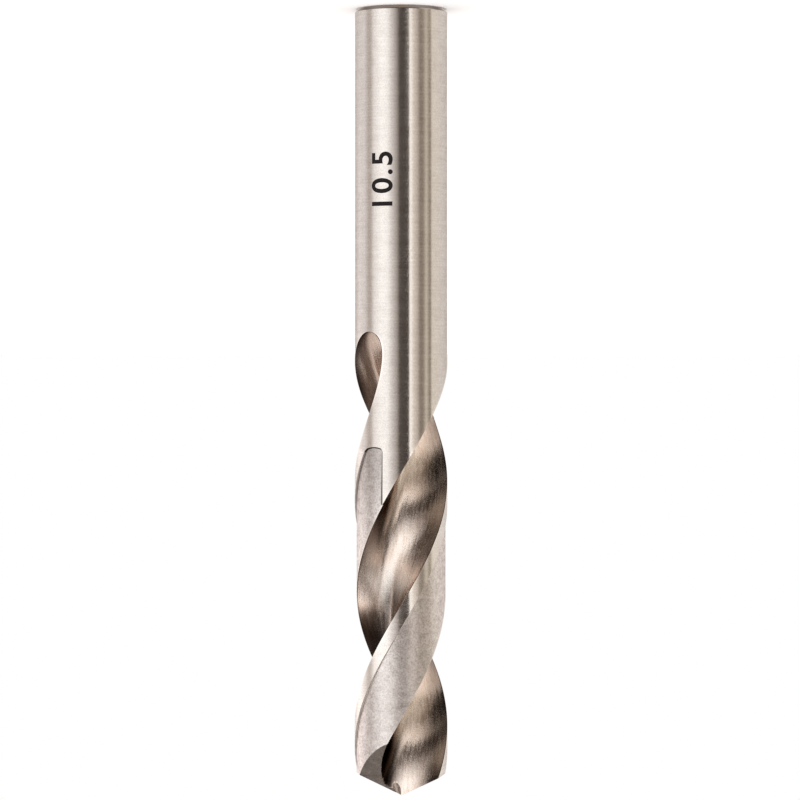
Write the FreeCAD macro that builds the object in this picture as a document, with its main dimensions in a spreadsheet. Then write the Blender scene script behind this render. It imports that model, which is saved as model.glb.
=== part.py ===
import FreeCAD, Part
import math
import os

import Sketcher

# A stub-length twist drill bit, ground from one bar: a plain cylindrical shank with a small end
# chamfer, two right-hand helical flutes that run out on the shank side, a margin along each
# cutting edge, a relieved land behind it, and a split point of flat facets.
# Millimetres and degrees. The bit stands on the end of its shank with its axis on Z, tip up.

os.makedirs("parts", exist_ok=True)

RUN_OUT_STEPS = 7
ROOT_TURN = math.radians(60)
SAME_PLACE = 1e-6
LEAST_CUT = 0.01
UPWARDS = FreeCAD.Vector(0, 0, 1)

# The driving dimensions: alias, value, what it measures.
SIZES = [
    ("overall_length", 89, "end of the shank to the chisel edge"),
    ("drill_diameter", 10.5, "over the margins at the lips"),
    ("back_taper", 0.03, "how much thinner the bit is at the flutes' end, and along the shank"),
    ("shank_chamfer", 0.4, "45 degree chamfer at the end of the shank"),
    ("helix_angle", 30.8, "angle of the flutes to the axis at the outside"),
    ("web_thickness", 1.9, "core left between the two flutes"),
    ("root_radius", 1.95, "round between a flute's floor and its heel side"),
    ("flute_opening", 96.2, "angle of one flute round the outside"),
    ("flute_end_height", 36.5, "height at which the flutes have run out"),
    ("run_out_radius", 21, "lengthwise arc along which a flute rises to the surface"),
    ("run_out_overshoot", 0.05, "how far that arc rises past the surface"),
    ("margin_width", 1.5, "margin left at full diameter, along the circumference"),
    ("clearance_depth", 0.22, "step from the margin down to the relieved land"),
    ("clearance_end_height", 49.8, "height at which the relieved land begins"),
    ("clearance_edge_length", 6.2, "lengthwise edge from there to the heel"),
    ("clearance_overlap", 8, "angle by which the land's cutter passes the heel"),
    ("point_angle", 130, "angle between the two lips"),
    ("relief_angle", 12, "slope of the facet behind a lip"),
    ("lip_direction", 27.2, "direction of the first lip round the axis"),
    ("notch_direction", -115.2, "way that the first heel facet faces, from the first lip"),
    ("notch_slope", 53, "slope of a heel facet"),
    ("notch_wall_direction", -101, "run of that facet's inner side, from the first lip"),
    ("notch_wall_offset", 0.06, "distance of that side from the axis"),
    ("chisel_length", 0.3, "chisel edge left between the heel facets"),
    ("thinning_direction", -89, "way that the groove which thins the web runs, from the first lip"),
    ("thinning_slope", 60, "slope of that groove"),
    ("thinning_radius", 0.5, "radius of that groove"),
    ("thinning_length", 3, "length of that groove from the chisel edge down"),
    ("cutter_reach", 4, "how far a flute's cutter passes the outside of the bar"),
    ("allowance", 1, "stock above the finished tip, and how far other cuts pass what they cut"),
]

document = FreeCAD.newDocument("TwistDrill")
sheet = document.addObject("Spreadsheet::Sheet", "Sizes")
for row, (alias, value, meaning) in enumerate(SIZES, start=1):
    sheet.set(f"A{row}", alias)
    sheet.set(f"B{row}", str(value))
    sheet.set(f"C{row}", meaning)
    sheet.setAlias(f"B{row}", alias)
document.recompute()

# Worked-out sizes, as formulas on the sheet.
RADIUS = "(Sizes.drill_diameter / 2)"
SHANK_RADIUS = f"({RADIUS} - Sizes.back_taper / 2)"
HALF_WEB = "(Sizes.web_thickness / 2)"
LEAD = "(pi * Sizes.drill_diameter / tan(Sizes.helix_angle))"
BAR_TOP = "(Sizes.overall_length + Sizes.allowance)"
CUTTER_TOP = f"({BAR_TOP} + Sizes.allowance)"
# The lips' lines meet the axis a little above the chisel edge.
LIP_VERTEX = f"(Sizes.overall_length + {HALF_WEB} * tan(Sizes.relief_angle) / sin(Sizes.point_angle / 2))"
LIP_CORNER = f"({LIP_VERTEX} - {RADIUS} / tan(Sizes.point_angle / 2))"
# A flute wall that gives a straight lip on a cone turns, in a cross section, by the helix over the
# height that the lip drops. Angles in a cross section are from the direction of its lip.
WEB_SHARE = "(Sizes.web_thickness / Sizes.drill_diameter)"
LIP_LAG = f"(tan(Sizes.helix_angle) / tan(Sizes.point_angle / 2) * sqrt(1 - {WEB_SHARE}^2) * 180 / pi)"
EDGE_ANGLE = f"(asin({WEB_SHARE}) / 1 deg + {LIP_LAG})"
HEEL_ANGLE = f"({EDGE_ANGLE} + Sizes.flute_opening)"
MARGIN_ANGLE = f"(Sizes.margin_width / {RADIUS} * 180 / pi)"
# Long enough to clear the whole point from any of its planes.
POINT_CUT = "(Sizes.drill_diameter * 2)"
# The run-out's arc, from the flute's floor to just outside the bar.
RUN_OUT_RISE = f"({RADIUS} - {HALF_WEB} + Sizes.run_out_overshoot)"
RUN_OUT_LENGTH = f"sqrt(Sizes.run_out_radius^2 - (Sizes.run_out_radius - {RUN_OUT_RISE})^2)"
RUN_OUT_START = f"(Sizes.flute_end_height + {RUN_OUT_LENGTH})"

body = document.addObject("PartDesign::Body", "DrillBit")
body.Label = "drill_bit"


def origin_feature(role):
    """The body's own origin plane or axis with this role."""
    for feature in body.Origin.OriginFeatures:
        if feature.Role == role:
            return feature
    raise ValueError(role)


def new_sketch(name, plane, placement=None):
    """An empty sketch on an origin plane, moved off it by a placement formula."""
    sketch = body.newObject("Sketcher::SketchObject", name)
    sketch.AttachmentSupport = [(origin_feature(plane), "")]
    sketch.MapMode = "FlatFace"
    if placement:
        sketch.setExpression("AttachmentOffset", placement)
    return sketch


def point(x, y):
    """A point in a sketch's plane."""
    return FreeCAD.Vector(x, y, 0)


def number(formula):
    """The present value of a formula on the sheet."""
    result = sheet.evalExpression(formula)
    return float(getattr(result, "Value", result))


def measure(sketch, kind, *where, size):
    """Adds one driving size to a sketch and binds it to a formula."""
    value = number(size)
    if kind == "Angle":
        value = math.radians(value)
    index = sketch.addConstraint(Sketcher.Constraint(kind, *where, value))
    sketch.setExpression(f"Constraints[{index}]", f"({size}) * 1 deg" if kind == "Angle" else size)


def polygon(sketch, corners):
    """A closed outline of straight lines, each corner bound to a pair of formulas."""
    places = [point(number(x), number(y)) for x, y in corners]
    lines = [Part.LineSegment(a, b) for a, b in zip(places, places[1:] + places[:1])]
    sketch.addGeometry(lines, False)
    for index, (x, y) in enumerate(corners):
        follower = (index - 1) % len(corners)
        sketch.addConstraint(Sketcher.Constraint("Coincident", follower, 2, index, 1))
        measure(sketch, "DistanceX", -1, 1, index, 1, size=x)
        measure(sketch, "DistanceY", -1, 1, index, 1, size=y)


def turn_at(height):
    """How far the helix has turned at a height, counted from the lips."""
    return f"(360 * ({height} - {LIP_VERTEX}) / {LEAD})"


def turned(height):
    """Placement of a cross section at a height, turned with the helix."""
    return f"placement(vector(0; 0; {height}); rotation(vector(0; 0; 1); {turn_at(height)}))"


def tapered(height):
    """Radius of the bar at a height above the shank, thinner towards the flutes' end."""
    rise = f"({height} - Sizes.flute_end_height) / ({LIP_CORNER} - Sizes.flute_end_height)"
    return f"({SHANK_RADIUS} + Sizes.back_taper / 2 * {rise})"


def up_the_arc(bottom, radius, turn):
    """The place on an arc after a turn from its lowest point."""
    return point(bottom.x + radius * math.sin(turn), bottom.y + radius * (1 - math.cos(turn)))


def flute_section(name, height, lift):
    """Cross section of the flute's cutter, closed outside the bar.

    The lip side is an arc through the cutting edge that touches the web at right angles to the
    lip. From there a small root arc leads into the straight heel side. The lift carries the
    section outwards.
    """
    edge_x = f"({RADIUS} * cos({EDGE_ANGLE}))"
    edge_y = f"({RADIUS} * sin({EDGE_ANGLE}))"
    heel_x = f"({RADIUS} * cos({HEEL_ANGLE}))"
    heel_y = f"({RADIUS} * sin({HEEL_ANGLE}))"
    outside = f"({RADIUS} + Sizes.cutter_reach)"
    corner_x = f"({outside} * cos({HEEL_ANGLE}))"
    corner_y = f"({outside} * sin({HEEL_ANGLE}) + {lift})"
    reach_x = f"({edge_x} + Sizes.allowance)"
    # First places for the solver, close to where the sizes will hold them.
    web_y = number(f"{HALF_WEB} + {lift}")
    edge_rise = number(f"{edge_y} - {HALF_WEB}")
    edge_radius = (number(edge_x) ** 2 + edge_rise ** 2) / (2 * edge_rise)
    root_radius = number("Sizes.root_radius")
    reach = math.asin(number(reach_x) / edge_radius)
    web = point(0, web_y)
    edge_end = up_the_arc(web, edge_radius, reach)
    edge_middle = up_the_arc(web, edge_radius, reach / 2)
    root_end = up_the_arc(web, root_radius, -ROOT_TURN)
    root_middle = up_the_arc(web, root_radius, -ROOT_TURN / 2)
    heel = point(number(heel_x), number(f"{heel_y} + {lift}"))
    corner = point(number(corner_x), number(corner_y))
    far_corner = point(edge_end.x, corner.y)

    sketch = new_sketch(name, "XY_Plane", turned(height))
    sketch.addGeometry(
        [
            Part.Arc(edge_end, edge_middle, web),
            Part.Arc(web, root_middle, root_end),
            Part.LineSegment(root_end, heel),
            Part.LineSegment(heel, corner),
            Part.LineSegment(corner, far_corner),
            Part.LineSegment(far_corner, edge_end),
        ],
        False,
    )
    cutting_edge = point(number(edge_x), number(f"{edge_y} + {lift}"))
    edge_point = sketch.addGeometry(Part.Point(cutting_edge), True)
    # A sketch keeps an arc's ends in the order of its turning sense, so they are looked up by place.
    lip_web = end_at(sketch, 0, web)
    lip_end = 3 - lip_web
    root_web = end_at(sketch, 1, web)
    root_heel = 3 - root_web
    for constraint in (
        Sketcher.Constraint("Coincident", 0, lip_web, 1, root_web),
        Sketcher.Constraint("Tangent", 1, root_heel, 2, 1),
        Sketcher.Constraint("Coincident", 2, 2, 3, 1),
        Sketcher.Constraint("Coincident", 3, 2, 4, 1),
        Sketcher.Constraint("Coincident", 4, 2, 5, 1),
        Sketcher.Constraint("Coincident", 5, 2, 0, lip_end),
        Sketcher.Constraint("PointOnObject", 0, lip_web, -2),
        Sketcher.Constraint("PointOnObject", 0, 3, -2),
        Sketcher.Constraint("PointOnObject", 1, 3, -2),
        Sketcher.Constraint("PointOnObject", edge_point, 1, 0),
        Sketcher.Constraint("Horizontal", 4),
        Sketcher.Constraint("Vertical", 5),
    ):
        sketch.addConstraint(constraint)
    measure(sketch, "DistanceY", -1, 1, 0, lip_web, size=f"{HALF_WEB} + {lift}")
    measure(sketch, "DistanceX", -1, 1, edge_point, 1, size=edge_x)
    measure(sketch, "DistanceY", -1, 1, edge_point, 1, size=f"{edge_y} + {lift}")
    measure(sketch, "Radius", 1, size="Sizes.root_radius")
    measure(sketch, "DistanceX", -1, 1, 2, 2, size=heel_x)
    measure(sketch, "DistanceY", -1, 1, 2, 2, size=f"{heel_y} + {lift}")
    measure(sketch, "DistanceX", -1, 1, 3, 2, size=corner_x)
    measure(sketch, "DistanceY", -1, 1, 3, 2, size=corner_y)
    measure(sketch, "DistanceX", -1, 1, 5, 2, size=reach_x)
    return sketch


def end_at(sketch, geometry, place):
    """Which end of a curve, 1 or 2, lies at a place."""
    start = sketch.getPoint(geometry, 1)
    return 1 if start.distanceToPoint(place) < SAME_PLACE else 2


def ring_sector(name, placement, inner, outer, first, last):
    """A ring's stretch between two radii and two angles, about the sketch's origin."""
    inside = number(inner)
    outside = number(outer)
    from_angle = math.radians(number(first))
    to_angle = math.radians(number(last))
    centre = point(0, 0)
    corners = [
        point(radius * math.cos(angle), radius * math.sin(angle))
        for angle in (from_angle, to_angle)
        for radius in (inside, outside)
    ]
    sketch = new_sketch(name, "XY_Plane", placement)
    sketch.addGeometry(
        [
            Part.ArcOfCircle(Part.Circle(centre, UPWARDS, inside), from_angle, to_angle),
            Part.LineSegment(corners[2], corners[3]),
            Part.ArcOfCircle(Part.Circle(centre, UPWARDS, outside), from_angle, to_angle),
            Part.LineSegment(corners[0], corners[1]),
        ],
        False,
    )
    for constraint in (
        Sketcher.Constraint("Coincident", 0, 3, -1, 1),
        Sketcher.Constraint("Coincident", 2, 3, -1, 1),
        Sketcher.Constraint("Coincident", 0, 2, 1, 1),
        Sketcher.Constraint("Coincident", 1, 2, 2, 2),
        Sketcher.Constraint("Coincident", 0, 1, 3, 1),
        Sketcher.Constraint("Coincident", 3, 2, 2, 1),
        Sketcher.Constraint("PointOnObject", -1, 1, 1),
        Sketcher.Constraint("PointOnObject", -1, 1, 3),
    ):
        sketch.addConstraint(constraint)
    measure(sketch, "Radius", 0, size=inner)
    measure(sketch, "Radius", 2, size=outer)
    measure(sketch, "Angle", 3, size=first)
    measure(sketch, "Angle", 1, size=last)
    return sketch


def helix_guide(name, bottom, top):
    """The helix that turns a section as it is carried up the axis."""
    guide = document.addObject("Part::Helix", name)
    guide.setExpression("Pitch", LEAD)
    guide.setExpression("Height", f"{top} - {bottom}")
    guide.setExpression("Radius", RADIUS)
    guide.setExpression("Placement.Base.z", bottom)
    return guide


def axis_line(name, start, end):
    """A straight path on the axis from one height to another."""
    sketch = new_sketch(name, "XZ_Plane")
    sketch.addGeometry(Part.LineSegment(point(0, number(start)), point(0, number(end))), False)
    sketch.addConstraint(Sketcher.Constraint("PointOnObject", 0, 1, -2))
    sketch.addConstraint(Sketcher.Constraint("PointOnObject", 0, 2, -2))
    measure(sketch, "DistanceY", -1, 1, 0, 1, size=start)
    measure(sketch, "DistanceY", -1, 1, 0, 2, size=end)
    return sketch


def twisted_cut(name, profile, path, guide, sections=()):
    """Cuts a section that turns with the guide helix along the path, changing through sections."""
    document.recompute()
    before = body.Shape.Volume
    cut = body.newObject("PartDesign::SubtractivePipe", name)
    cut.Profile = profile
    cut.Spine = (path, ["Edge1"])
    cut.Mode = "Auxiliary"
    cut.AuxiliarySpine = (guide, ["Edge1"])
    cut.AuxiliaryCurvilinear = False
    if sections:
        cut.Transformation = "Multisection"
        cut.Sections = [(section, "") for section in sections]
    document.recompute()
    check_removed(cut, before)
    return cut


def cut_along(name, profile, length, direction=None):
    """Cuts a sketch's outline along a direction, or against the sketch's own upward normal."""
    document.recompute()
    before = body.Shape.Volume
    cut = body.newObject("PartDesign::Pocket", name)
    cut.Profile = profile
    cut.Type = "Length"
    cut.setExpression("Length", length)
    if direction:
        cut.UseCustomVector = True
        cut.Direction = direction
    document.recompute()
    check_removed(cut, before)
    return cut


def check_removed(feature, before):
    """Stops the build when a cut took nothing away."""
    after = feature.Shape.Volume
    print(f"{feature.Name}: {before:.2f} -> {after:.2f} mm3")
    if after > before - LEAST_CUT:
        raise RuntimeError(f"{feature.Name} removed nothing")


def repeat_opposite(name, features):
    """Repeats features half a turn round the axis."""
    pattern = body.newObject("PartDesign::PolarPattern", name)
    pattern.Originals = features
    pattern.Axis = (origin_feature("Z_Axis"), [""])
    pattern.Angle = 360
    pattern.Occurrences = 2
    pattern.Refine = True
    body.Tip = pattern
    document.recompute()
    return pattern


def revolve(name, outline, angle):
    """Adds an outline turned about its sketch's vertical axis, which is the bit's axis."""
    solid = body.newObject("PartDesign::Revolution", name)
    solid.Profile = outline
    solid.ReferenceAxis = (outline, ["V_Axis"])
    solid.setExpression("Angle", angle)
    document.recompute()
    return solid


def turn_bar():
    """The bar as ground round: chamfer, shank, and a taper up to the tip, square at the top."""
    outline = new_sketch("BarOutline", "XZ_Plane")
    polygon(
        outline,
        [
            ("0", "0"),
            (f"{SHANK_RADIUS} - Sizes.shank_chamfer", "0"),
            (SHANK_RADIUS, "Sizes.shank_chamfer"),
            (SHANK_RADIUS, "Sizes.flute_end_height"),
            (tapered(BAR_TOP), BAR_TOP),
            ("0", BAR_TOP),
        ],
    )
    revolve("Bar", outline, "360")


def relieve_lands():
    """Body clearance: each land stands lower than its margin, from a square end up to the point."""
    bottom = "Sizes.clearance_end_height"
    under = f"({RADIUS} - Sizes.allowance)"
    heel = f"({HEEL_ANGLE} - 180)"
    section = ring_sector(
        "ClearanceSection",
        turned(bottom),
        under,
        f"{RADIUS} + Sizes.allowance",
        f"{heel} - Sizes.clearance_overlap",
        f"{EDGE_ANGLE} - {MARGIN_ANGLE}",
    )
    path = axis_line("ClearancePath", bottom, CUTTER_TOP)
    guide = helix_guide("ClearanceHelix", bottom, CUTTER_TOP)
    clearance = twisted_cut("Clearance", section, path, guide)
    repeat_opposite("Clearances", [clearance])

    # Beside a lengthwise edge the land keeps its full diameter until the flute takes it away.
    top = f"({bottom} + Sizes.clearance_edge_length + Sizes.allowance)"
    whole = new_sketch(
        "WholeLandOutline",
        "XZ_Plane",
        "placement(vector(0; 0; 0); rotation(vector(0; 1; 0);"
        f" {turn_at(bottom)} + {heel} - Sizes.clearance_overlap))",
    )
    polygon(whole, [(under, bottom), (tapered(bottom), bottom), (tapered(top), top), (under, top)])
    width = f"Sizes.clearance_overlap + 360 * Sizes.clearance_edge_length / {LEAD}"
    whole_land = revolve("WholeLand", whole, width)
    repeat_opposite("WholeLands", [whole_land])

    # The cut goes deeper than the rest of the land, which is then made round at its own radius.
    land = new_sketch("RoundLandOutline", "XY_Plane")
    land.setExpression("AttachmentOffset.Base.z", bottom)
    radius = f"{RADIUS} - Sizes.clearance_depth"
    land.addGeometry(Part.Circle(point(0, 0), UPWARDS, number(radius)), False)
    land.addConstraint(Sketcher.Constraint("Coincident", 0, 3, -1, 1))
    measure(land, "Radius", 0, size=radius)
    round_land = body.newObject("PartDesign::Pad", "RoundLand")
    round_land.Profile = land
    round_land.setExpression("Length", f"{BAR_TOP} - {bottom}")
    document.recompute()


def grind_flutes():
    """Two helical flutes, each rising out of the bar along an arc at its shank end."""
    guide = helix_guide("FluteHelix", RUN_OUT_START, CUTTER_TOP)
    path = axis_line("FlutePath", RUN_OUT_START, CUTTER_TOP)
    section = flute_section("FluteSection", RUN_OUT_START, "0")
    flute = twisted_cut("Flute", section, path, guide)
    sections = []
    for step in range(RUN_OUT_STEPS + 1):
        drop = f"({RUN_OUT_LENGTH} * {step / RUN_OUT_STEPS})"
        lift = f"(Sizes.run_out_radius - sqrt(Sizes.run_out_radius^2 - {drop}^2))"
        sections.append(flute_section(f"RunOutSection{step}", f"({RUN_OUT_START} - {drop})", lift))
    run_out_guide = helix_guide("RunOutHelix", "Sizes.flute_end_height", RUN_OUT_START)
    run_out_path = axis_line("RunOutPath", RUN_OUT_START, "Sizes.flute_end_height")
    run_out = twisted_cut("RunOut", sections[0], run_out_path, run_out_guide, sections[1:])
    repeat_opposite("Flutes", [flute, run_out])


def square_outline(sketch, half_side):
    """A square centred on the sketch's origin."""
    polygon(
        sketch,
        [
            (f"-{half_side}", f"-{half_side}"),
            (half_side, f"-{half_side}"),
            (half_side, half_side),
            (f"-{half_side}", half_side),
        ],
    )


def grind_point():
    """The split point: relief facets behind the lips, steep heel facets and a thinned web."""
    relief = new_sketch(
        "ReliefPlane",
        "XY_Plane",
        f"placement(vector(0; {HALF_WEB}; {LIP_VERTEX});"
        " rotation(0; 90 - Sizes.point_angle / 2; Sizes.relief_angle))",
    )
    square_outline(relief, "Sizes.drill_diameter")
    relief_facet = cut_along("ReliefFacet", relief, POINT_CUT, UPWARDS)
    repeat_opposite("ReliefFacets", [relief_facet])

    facing = "Sizes.notch_direction"
    notch = new_sketch(
        "NotchPlane",
        "XY_Plane",
        f"placement(vector(cos({facing}) * Sizes.chisel_length / 2;"
        f" sin({facing}) * Sizes.chisel_length / 2; Sizes.overall_length);"
        f" rotation({facing}; Sizes.notch_slope; 0))",
    )
    # In this plane the run down the slope is X, and the wall's lines are stretched to stand upright.
    swing = "(Sizes.notch_wall_direction - Sizes.notch_direction)"
    stretch = "cos(Sizes.notch_slope)"
    wall_x = f"(Sizes.notch_wall_offset * sin({swing}) - Sizes.chisel_length / 2)"
    wall_y = f"(-Sizes.notch_wall_offset * cos({swing}))"
    along_x = f"{POINT_CUT} * cos({swing})"
    along_y = f"{POINT_CUT} * sin({swing})"
    polygon(
        notch,
        [
            (f"({wall_x} - {along_x}) / {stretch}", f"{wall_y} - {along_y}"),
            (f"({wall_x} + {along_x}) / {stretch}", f"{wall_y} + {along_y}"),
            (f"{POINT_CUT} / {stretch}", POINT_CUT),
            (f"-{POINT_CUT} / {stretch}", POINT_CUT),
        ],
    )
    notch_cut = cut_along("Notch", notch, POINT_CUT, UPWARDS)
    repeat_opposite("Notches", [notch_cut])

    # The groove's floor starts beside the chisel edge. Its cutter is drawn back along the groove.
    run = "Sizes.thinning_direction"
    slope = "Sizes.thinning_slope"
    back = "Sizes.thinning_length"
    away = f"(Sizes.chisel_length / 2 - {back} * cos({slope}))"
    thinning = new_sketch(
        "ThinningPlane",
        "XY_Plane",
        f"placement(vector(cos({run}) * {away}; sin({run}) * {away};"
        f" Sizes.overall_length + {back} * sin({slope})); rotation({run}; {slope} - 90; 0))",
    )
    radius = number("Sizes.thinning_radius")
    thinning.addGeometry(Part.Circle(point(radius, 0), UPWARDS, radius), False)
    thinning.addConstraint(Sketcher.Constraint("PointOnObject", 0, 3, -1))
    thinning.addConstraint(Sketcher.Constraint("PointOnObject", -1, 1, 0))
    measure(thinning, "Radius", 0, size="Sizes.thinning_radius")
    groove = cut_along("Thinning", thinning, f"{back} + {back}")
    repeat_opposite("Thinnings", [groove])


turn_bar()
relieve_lands()
grind_flutes()
grind_point()
body.setExpression(
    "Placement",
    "placement(vector(0; 0; 0); rotation(vector(0; 0; 1); Sizes.lip_direction))",
)
document.recompute()

for item in document.Objects:
    if "Invalid" in item.State or "Error" in item.State:
        raise RuntimeError(f"{item.Name} failed: {item.State}")
if body.Shape.isNull() or not body.Shape.isValid():
    raise RuntimeError("drill_bit has no valid shape")
body.Shape.exportStep(f"parts/{body.Label}.step")
print(f"{body.Label}: {body.Shape.Volume:.2f} mm3, {len(body.Shape.Faces)} faces, {body.Shape.BoundBox}")
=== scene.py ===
"""A short twist drill bit of ground steel that stands on the end of its shank.

The bit is one closed surface, worked out as a grid of columns round its section and rows up its
axis, and ground at the point with the same planes as the solid. A plain size mark is printed on
the shank. Lengths are in millimetres until a mesh is made, and the scene is in metres.
"""

import logging
import math
from collections.abc import Sequence
from dataclasses import dataclass, field
from enum import Enum

import bmesh
import bpy
import numpy as np
from mathutils import Matrix


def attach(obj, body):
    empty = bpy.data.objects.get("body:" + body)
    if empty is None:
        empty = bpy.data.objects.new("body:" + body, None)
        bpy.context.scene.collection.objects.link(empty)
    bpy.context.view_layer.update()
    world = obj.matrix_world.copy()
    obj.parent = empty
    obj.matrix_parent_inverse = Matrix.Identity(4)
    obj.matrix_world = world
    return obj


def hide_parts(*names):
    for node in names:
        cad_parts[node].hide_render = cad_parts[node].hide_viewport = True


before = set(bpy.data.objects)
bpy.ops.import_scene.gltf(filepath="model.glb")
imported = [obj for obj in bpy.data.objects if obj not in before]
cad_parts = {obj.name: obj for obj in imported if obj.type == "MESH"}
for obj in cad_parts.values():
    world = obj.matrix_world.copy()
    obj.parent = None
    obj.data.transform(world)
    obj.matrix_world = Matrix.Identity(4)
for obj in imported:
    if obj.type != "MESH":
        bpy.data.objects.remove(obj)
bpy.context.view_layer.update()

log = logging.getLogger("bit")

MM = 0.001
BODY = "root"
NODE = "drill_bit"
FULL_TURN = 360.0
HALF_TURN = 180.0
RIGHT_ANGLE = 90.0
TINY = 1e-6

Tone = tuple[float, float, float]
Stop = tuple[float, float, float, float]
Socket = bpy.types.NodeSocket
Solid = tuple[np.ndarray, list[list[int]]]
Strip = tuple[np.ndarray, np.ndarray]


class Slot(Enum):
    """Names of the material slots."""

    STEEL = "ground_steel"
    INK = "mark_ink"


class Zone(Enum):
    """Surfaces of the bit that were ground in a pass of their own."""

    SHANK = 0
    LAND = 1
    MARGIN = 2
    FLUTE = 3
    FACET = 4
    GROOVE = 5
    # The step's zone is painted dark: painted shade along the lengthwise edge and the clearance's end.
    STEP = 6
    WALL = 7


def eased(value: np.ndarray) -> np.ndarray:
    """A ramp from 0 to 1 with flat ends: three squares less two cubes of the value between them."""
    inside = np.clip(value, 0.0, 1.0)
    return inside * inside * (3.0 - 2.0 * inside)


def spread(count: int, crowding: float) -> np.ndarray:
    """Fractions from 0 to 1, closer together at both ends.

    Args:
        count: How many fractions, ends included.
        crowding: 0 spaces them evenly, and 1 by the cosine of an even half turn.

    Returns:
        The rising fractions.
    """
    even = np.linspace(0.0, 1.0, count)
    return (1.0 - crowding) * even + crowding * 0.5 * (1.0 - np.cos(math.pi * even))


def bell(value: np.ndarray) -> np.ndarray:
    """A bell curve: e to the power of minus the value's square."""
    return np.exp(-(value**2))


def section_angle(places: np.ndarray) -> np.ndarray:
    """Angle of places in a section in degrees: the arc tangent of y over x."""
    return np.degrees(np.arctan2(places[..., 1], places[..., 0]))


def ring_faces(rings: int, columns: int) -> np.ndarray:
    """Four-sided faces between neighbouring rings of places, each closed round.

    Args:
        rings: How many rings.
        columns: How many places a ring has.

    Returns:
        The four places of each face, ring after ring.
    """
    index = np.arange(rings * columns).reshape(rings, columns)
    right = np.roll(index, -1, axis=1)
    return np.stack([index[:-1], right[:-1], right[1:], index[1:]], axis=-1).reshape(-1, 4)


def link(name: str, data: bpy.types.ID) -> bpy.types.Object:
    """Makes an object of its data and puts it in the scene.

    Args:
        name: Name of the object.
        data: Its mesh, curve, light or camera.

    Returns:
        The new object.
    """
    made = bpy.data.objects.new(name, data)
    bpy.context.scene.collection.objects.link(made)
    return made


@dataclass(frozen=True)
class BitSizes:
    """The bit's sizes in millimetres and degrees, the same as the solid's."""

    length: float = 89.0
    radius: float = 5.25
    shank_radius: float = 5.235
    chamfer: float = 0.4
    helix_angle: float = 30.8
    half_web: float = 0.95
    root_radius: float = 1.95
    flute_opening: float = 96.2
    flute_end: float = 36.5
    run_out_radius: float = 21.0
    run_out_overshoot: float = 0.05
    margin_width: float = 1.5
    clearance_depth: float = 0.22
    clearance_end: float = 49.8
    clearance_edge: float = 6.2
    half_point: float = 65.0
    relief_angle: float = 12.0
    lip_direction: float = 27.2

    @property
    def lead(self) -> float:
        """Height of one full turn: the circumference over the tangent of the helix angle."""
        return 2.0 * math.pi * self.radius / math.tan(math.radians(self.helix_angle))

    @property
    def lip_vertex(self) -> float:
        """Height at which the lips' lines meet the axis."""
        drop = self.half_web * math.tan(math.radians(self.relief_angle))
        return self.length + drop / math.sin(math.radians(self.half_point))

    @property
    def edge_angle(self) -> float:
        """Angle of the cutting edge in a section: half the web's angle and the helix's lag.

        Returns:
            The angle in degrees.
        """
        share = self.half_web / self.radius
        tangents = math.tan(math.radians(self.helix_angle)) / math.tan(math.radians(self.half_point))
        return math.degrees(math.asin(share) + tangents * math.sqrt(1.0 - share * share))

    @property
    def heel_angle(self) -> float:
        """Angle of a flute's other side in a section."""
        return self.edge_angle + self.flute_opening

    @property
    def margin_angle(self) -> float:
        """Width of the margin as an angle."""
        return math.degrees(self.margin_width / self.radius)

    @property
    def cleared_radius(self) -> float:
        """Radius of the cleared land."""
        return self.radius - self.clearance_depth

    @property
    def cleared_angle(self) -> float:
        """Width of the cleared land at its end: the land's, less how far its edge turns up to the heel."""
        land = self.edge_angle - self.margin_angle - (self.heel_angle - HALF_TURN)
        return land - FULL_TURN * self.clearance_edge / self.lead

    @property
    def edge_top(self) -> float:
        """Height at which the lengthwise edge meets the heel."""
        return self.clearance_end + self.clearance_edge

    @property
    def run_out_start(self) -> float:
        """Height from which a flute rises: the run-out's arc ends just outside the bar.

        Returns:
            The height.
        """
        rise = self.radius - self.half_web + self.run_out_overshoot
        below = self.run_out_radius - rise
        return self.flute_end + math.sqrt(self.run_out_radius**2 - below**2)

    @property
    def flute_tip(self) -> float:
        """Height at which the rising flute leaves the bar."""
        below = self.run_out_radius - (self.shank_radius - self.half_web)
        return self.run_out_start - math.sqrt(self.run_out_radius**2 - below**2)

    def bar_radius(self, height: np.ndarray) -> np.ndarray:
        """Radius over the margins: the shank's, then a straight taper up to the lips' corners.

        Args:
            height: Heights of the places.

        Returns:
            The radius at each.
        """
        corner = self.lip_vertex - self.radius / math.tan(math.radians(self.half_point))
        rise = np.maximum(height - self.flute_end, 0.0) / (corner - self.flute_end)
        return self.shank_radius + (self.radius - self.shank_radius) * rise

    def turn(self, height: np.ndarray) -> np.ndarray:
        """Angle of a section in degrees: the height over the lead, and none below the flutes."""
        above = np.maximum(height, self.flute_tip)
        return FULL_TURN * (above - self.lip_vertex) / self.lead + self.lip_direction

    def lift(self, height: np.ndarray) -> np.ndarray:
        """How far the flute's cutter stands out: a circle's sagitta over the drop."""
        drop = np.clip(self.run_out_start - height, 0.0, self.run_out_start - self.flute_tip)
        return self.run_out_radius - np.sqrt(self.run_out_radius**2 - drop**2)


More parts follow.
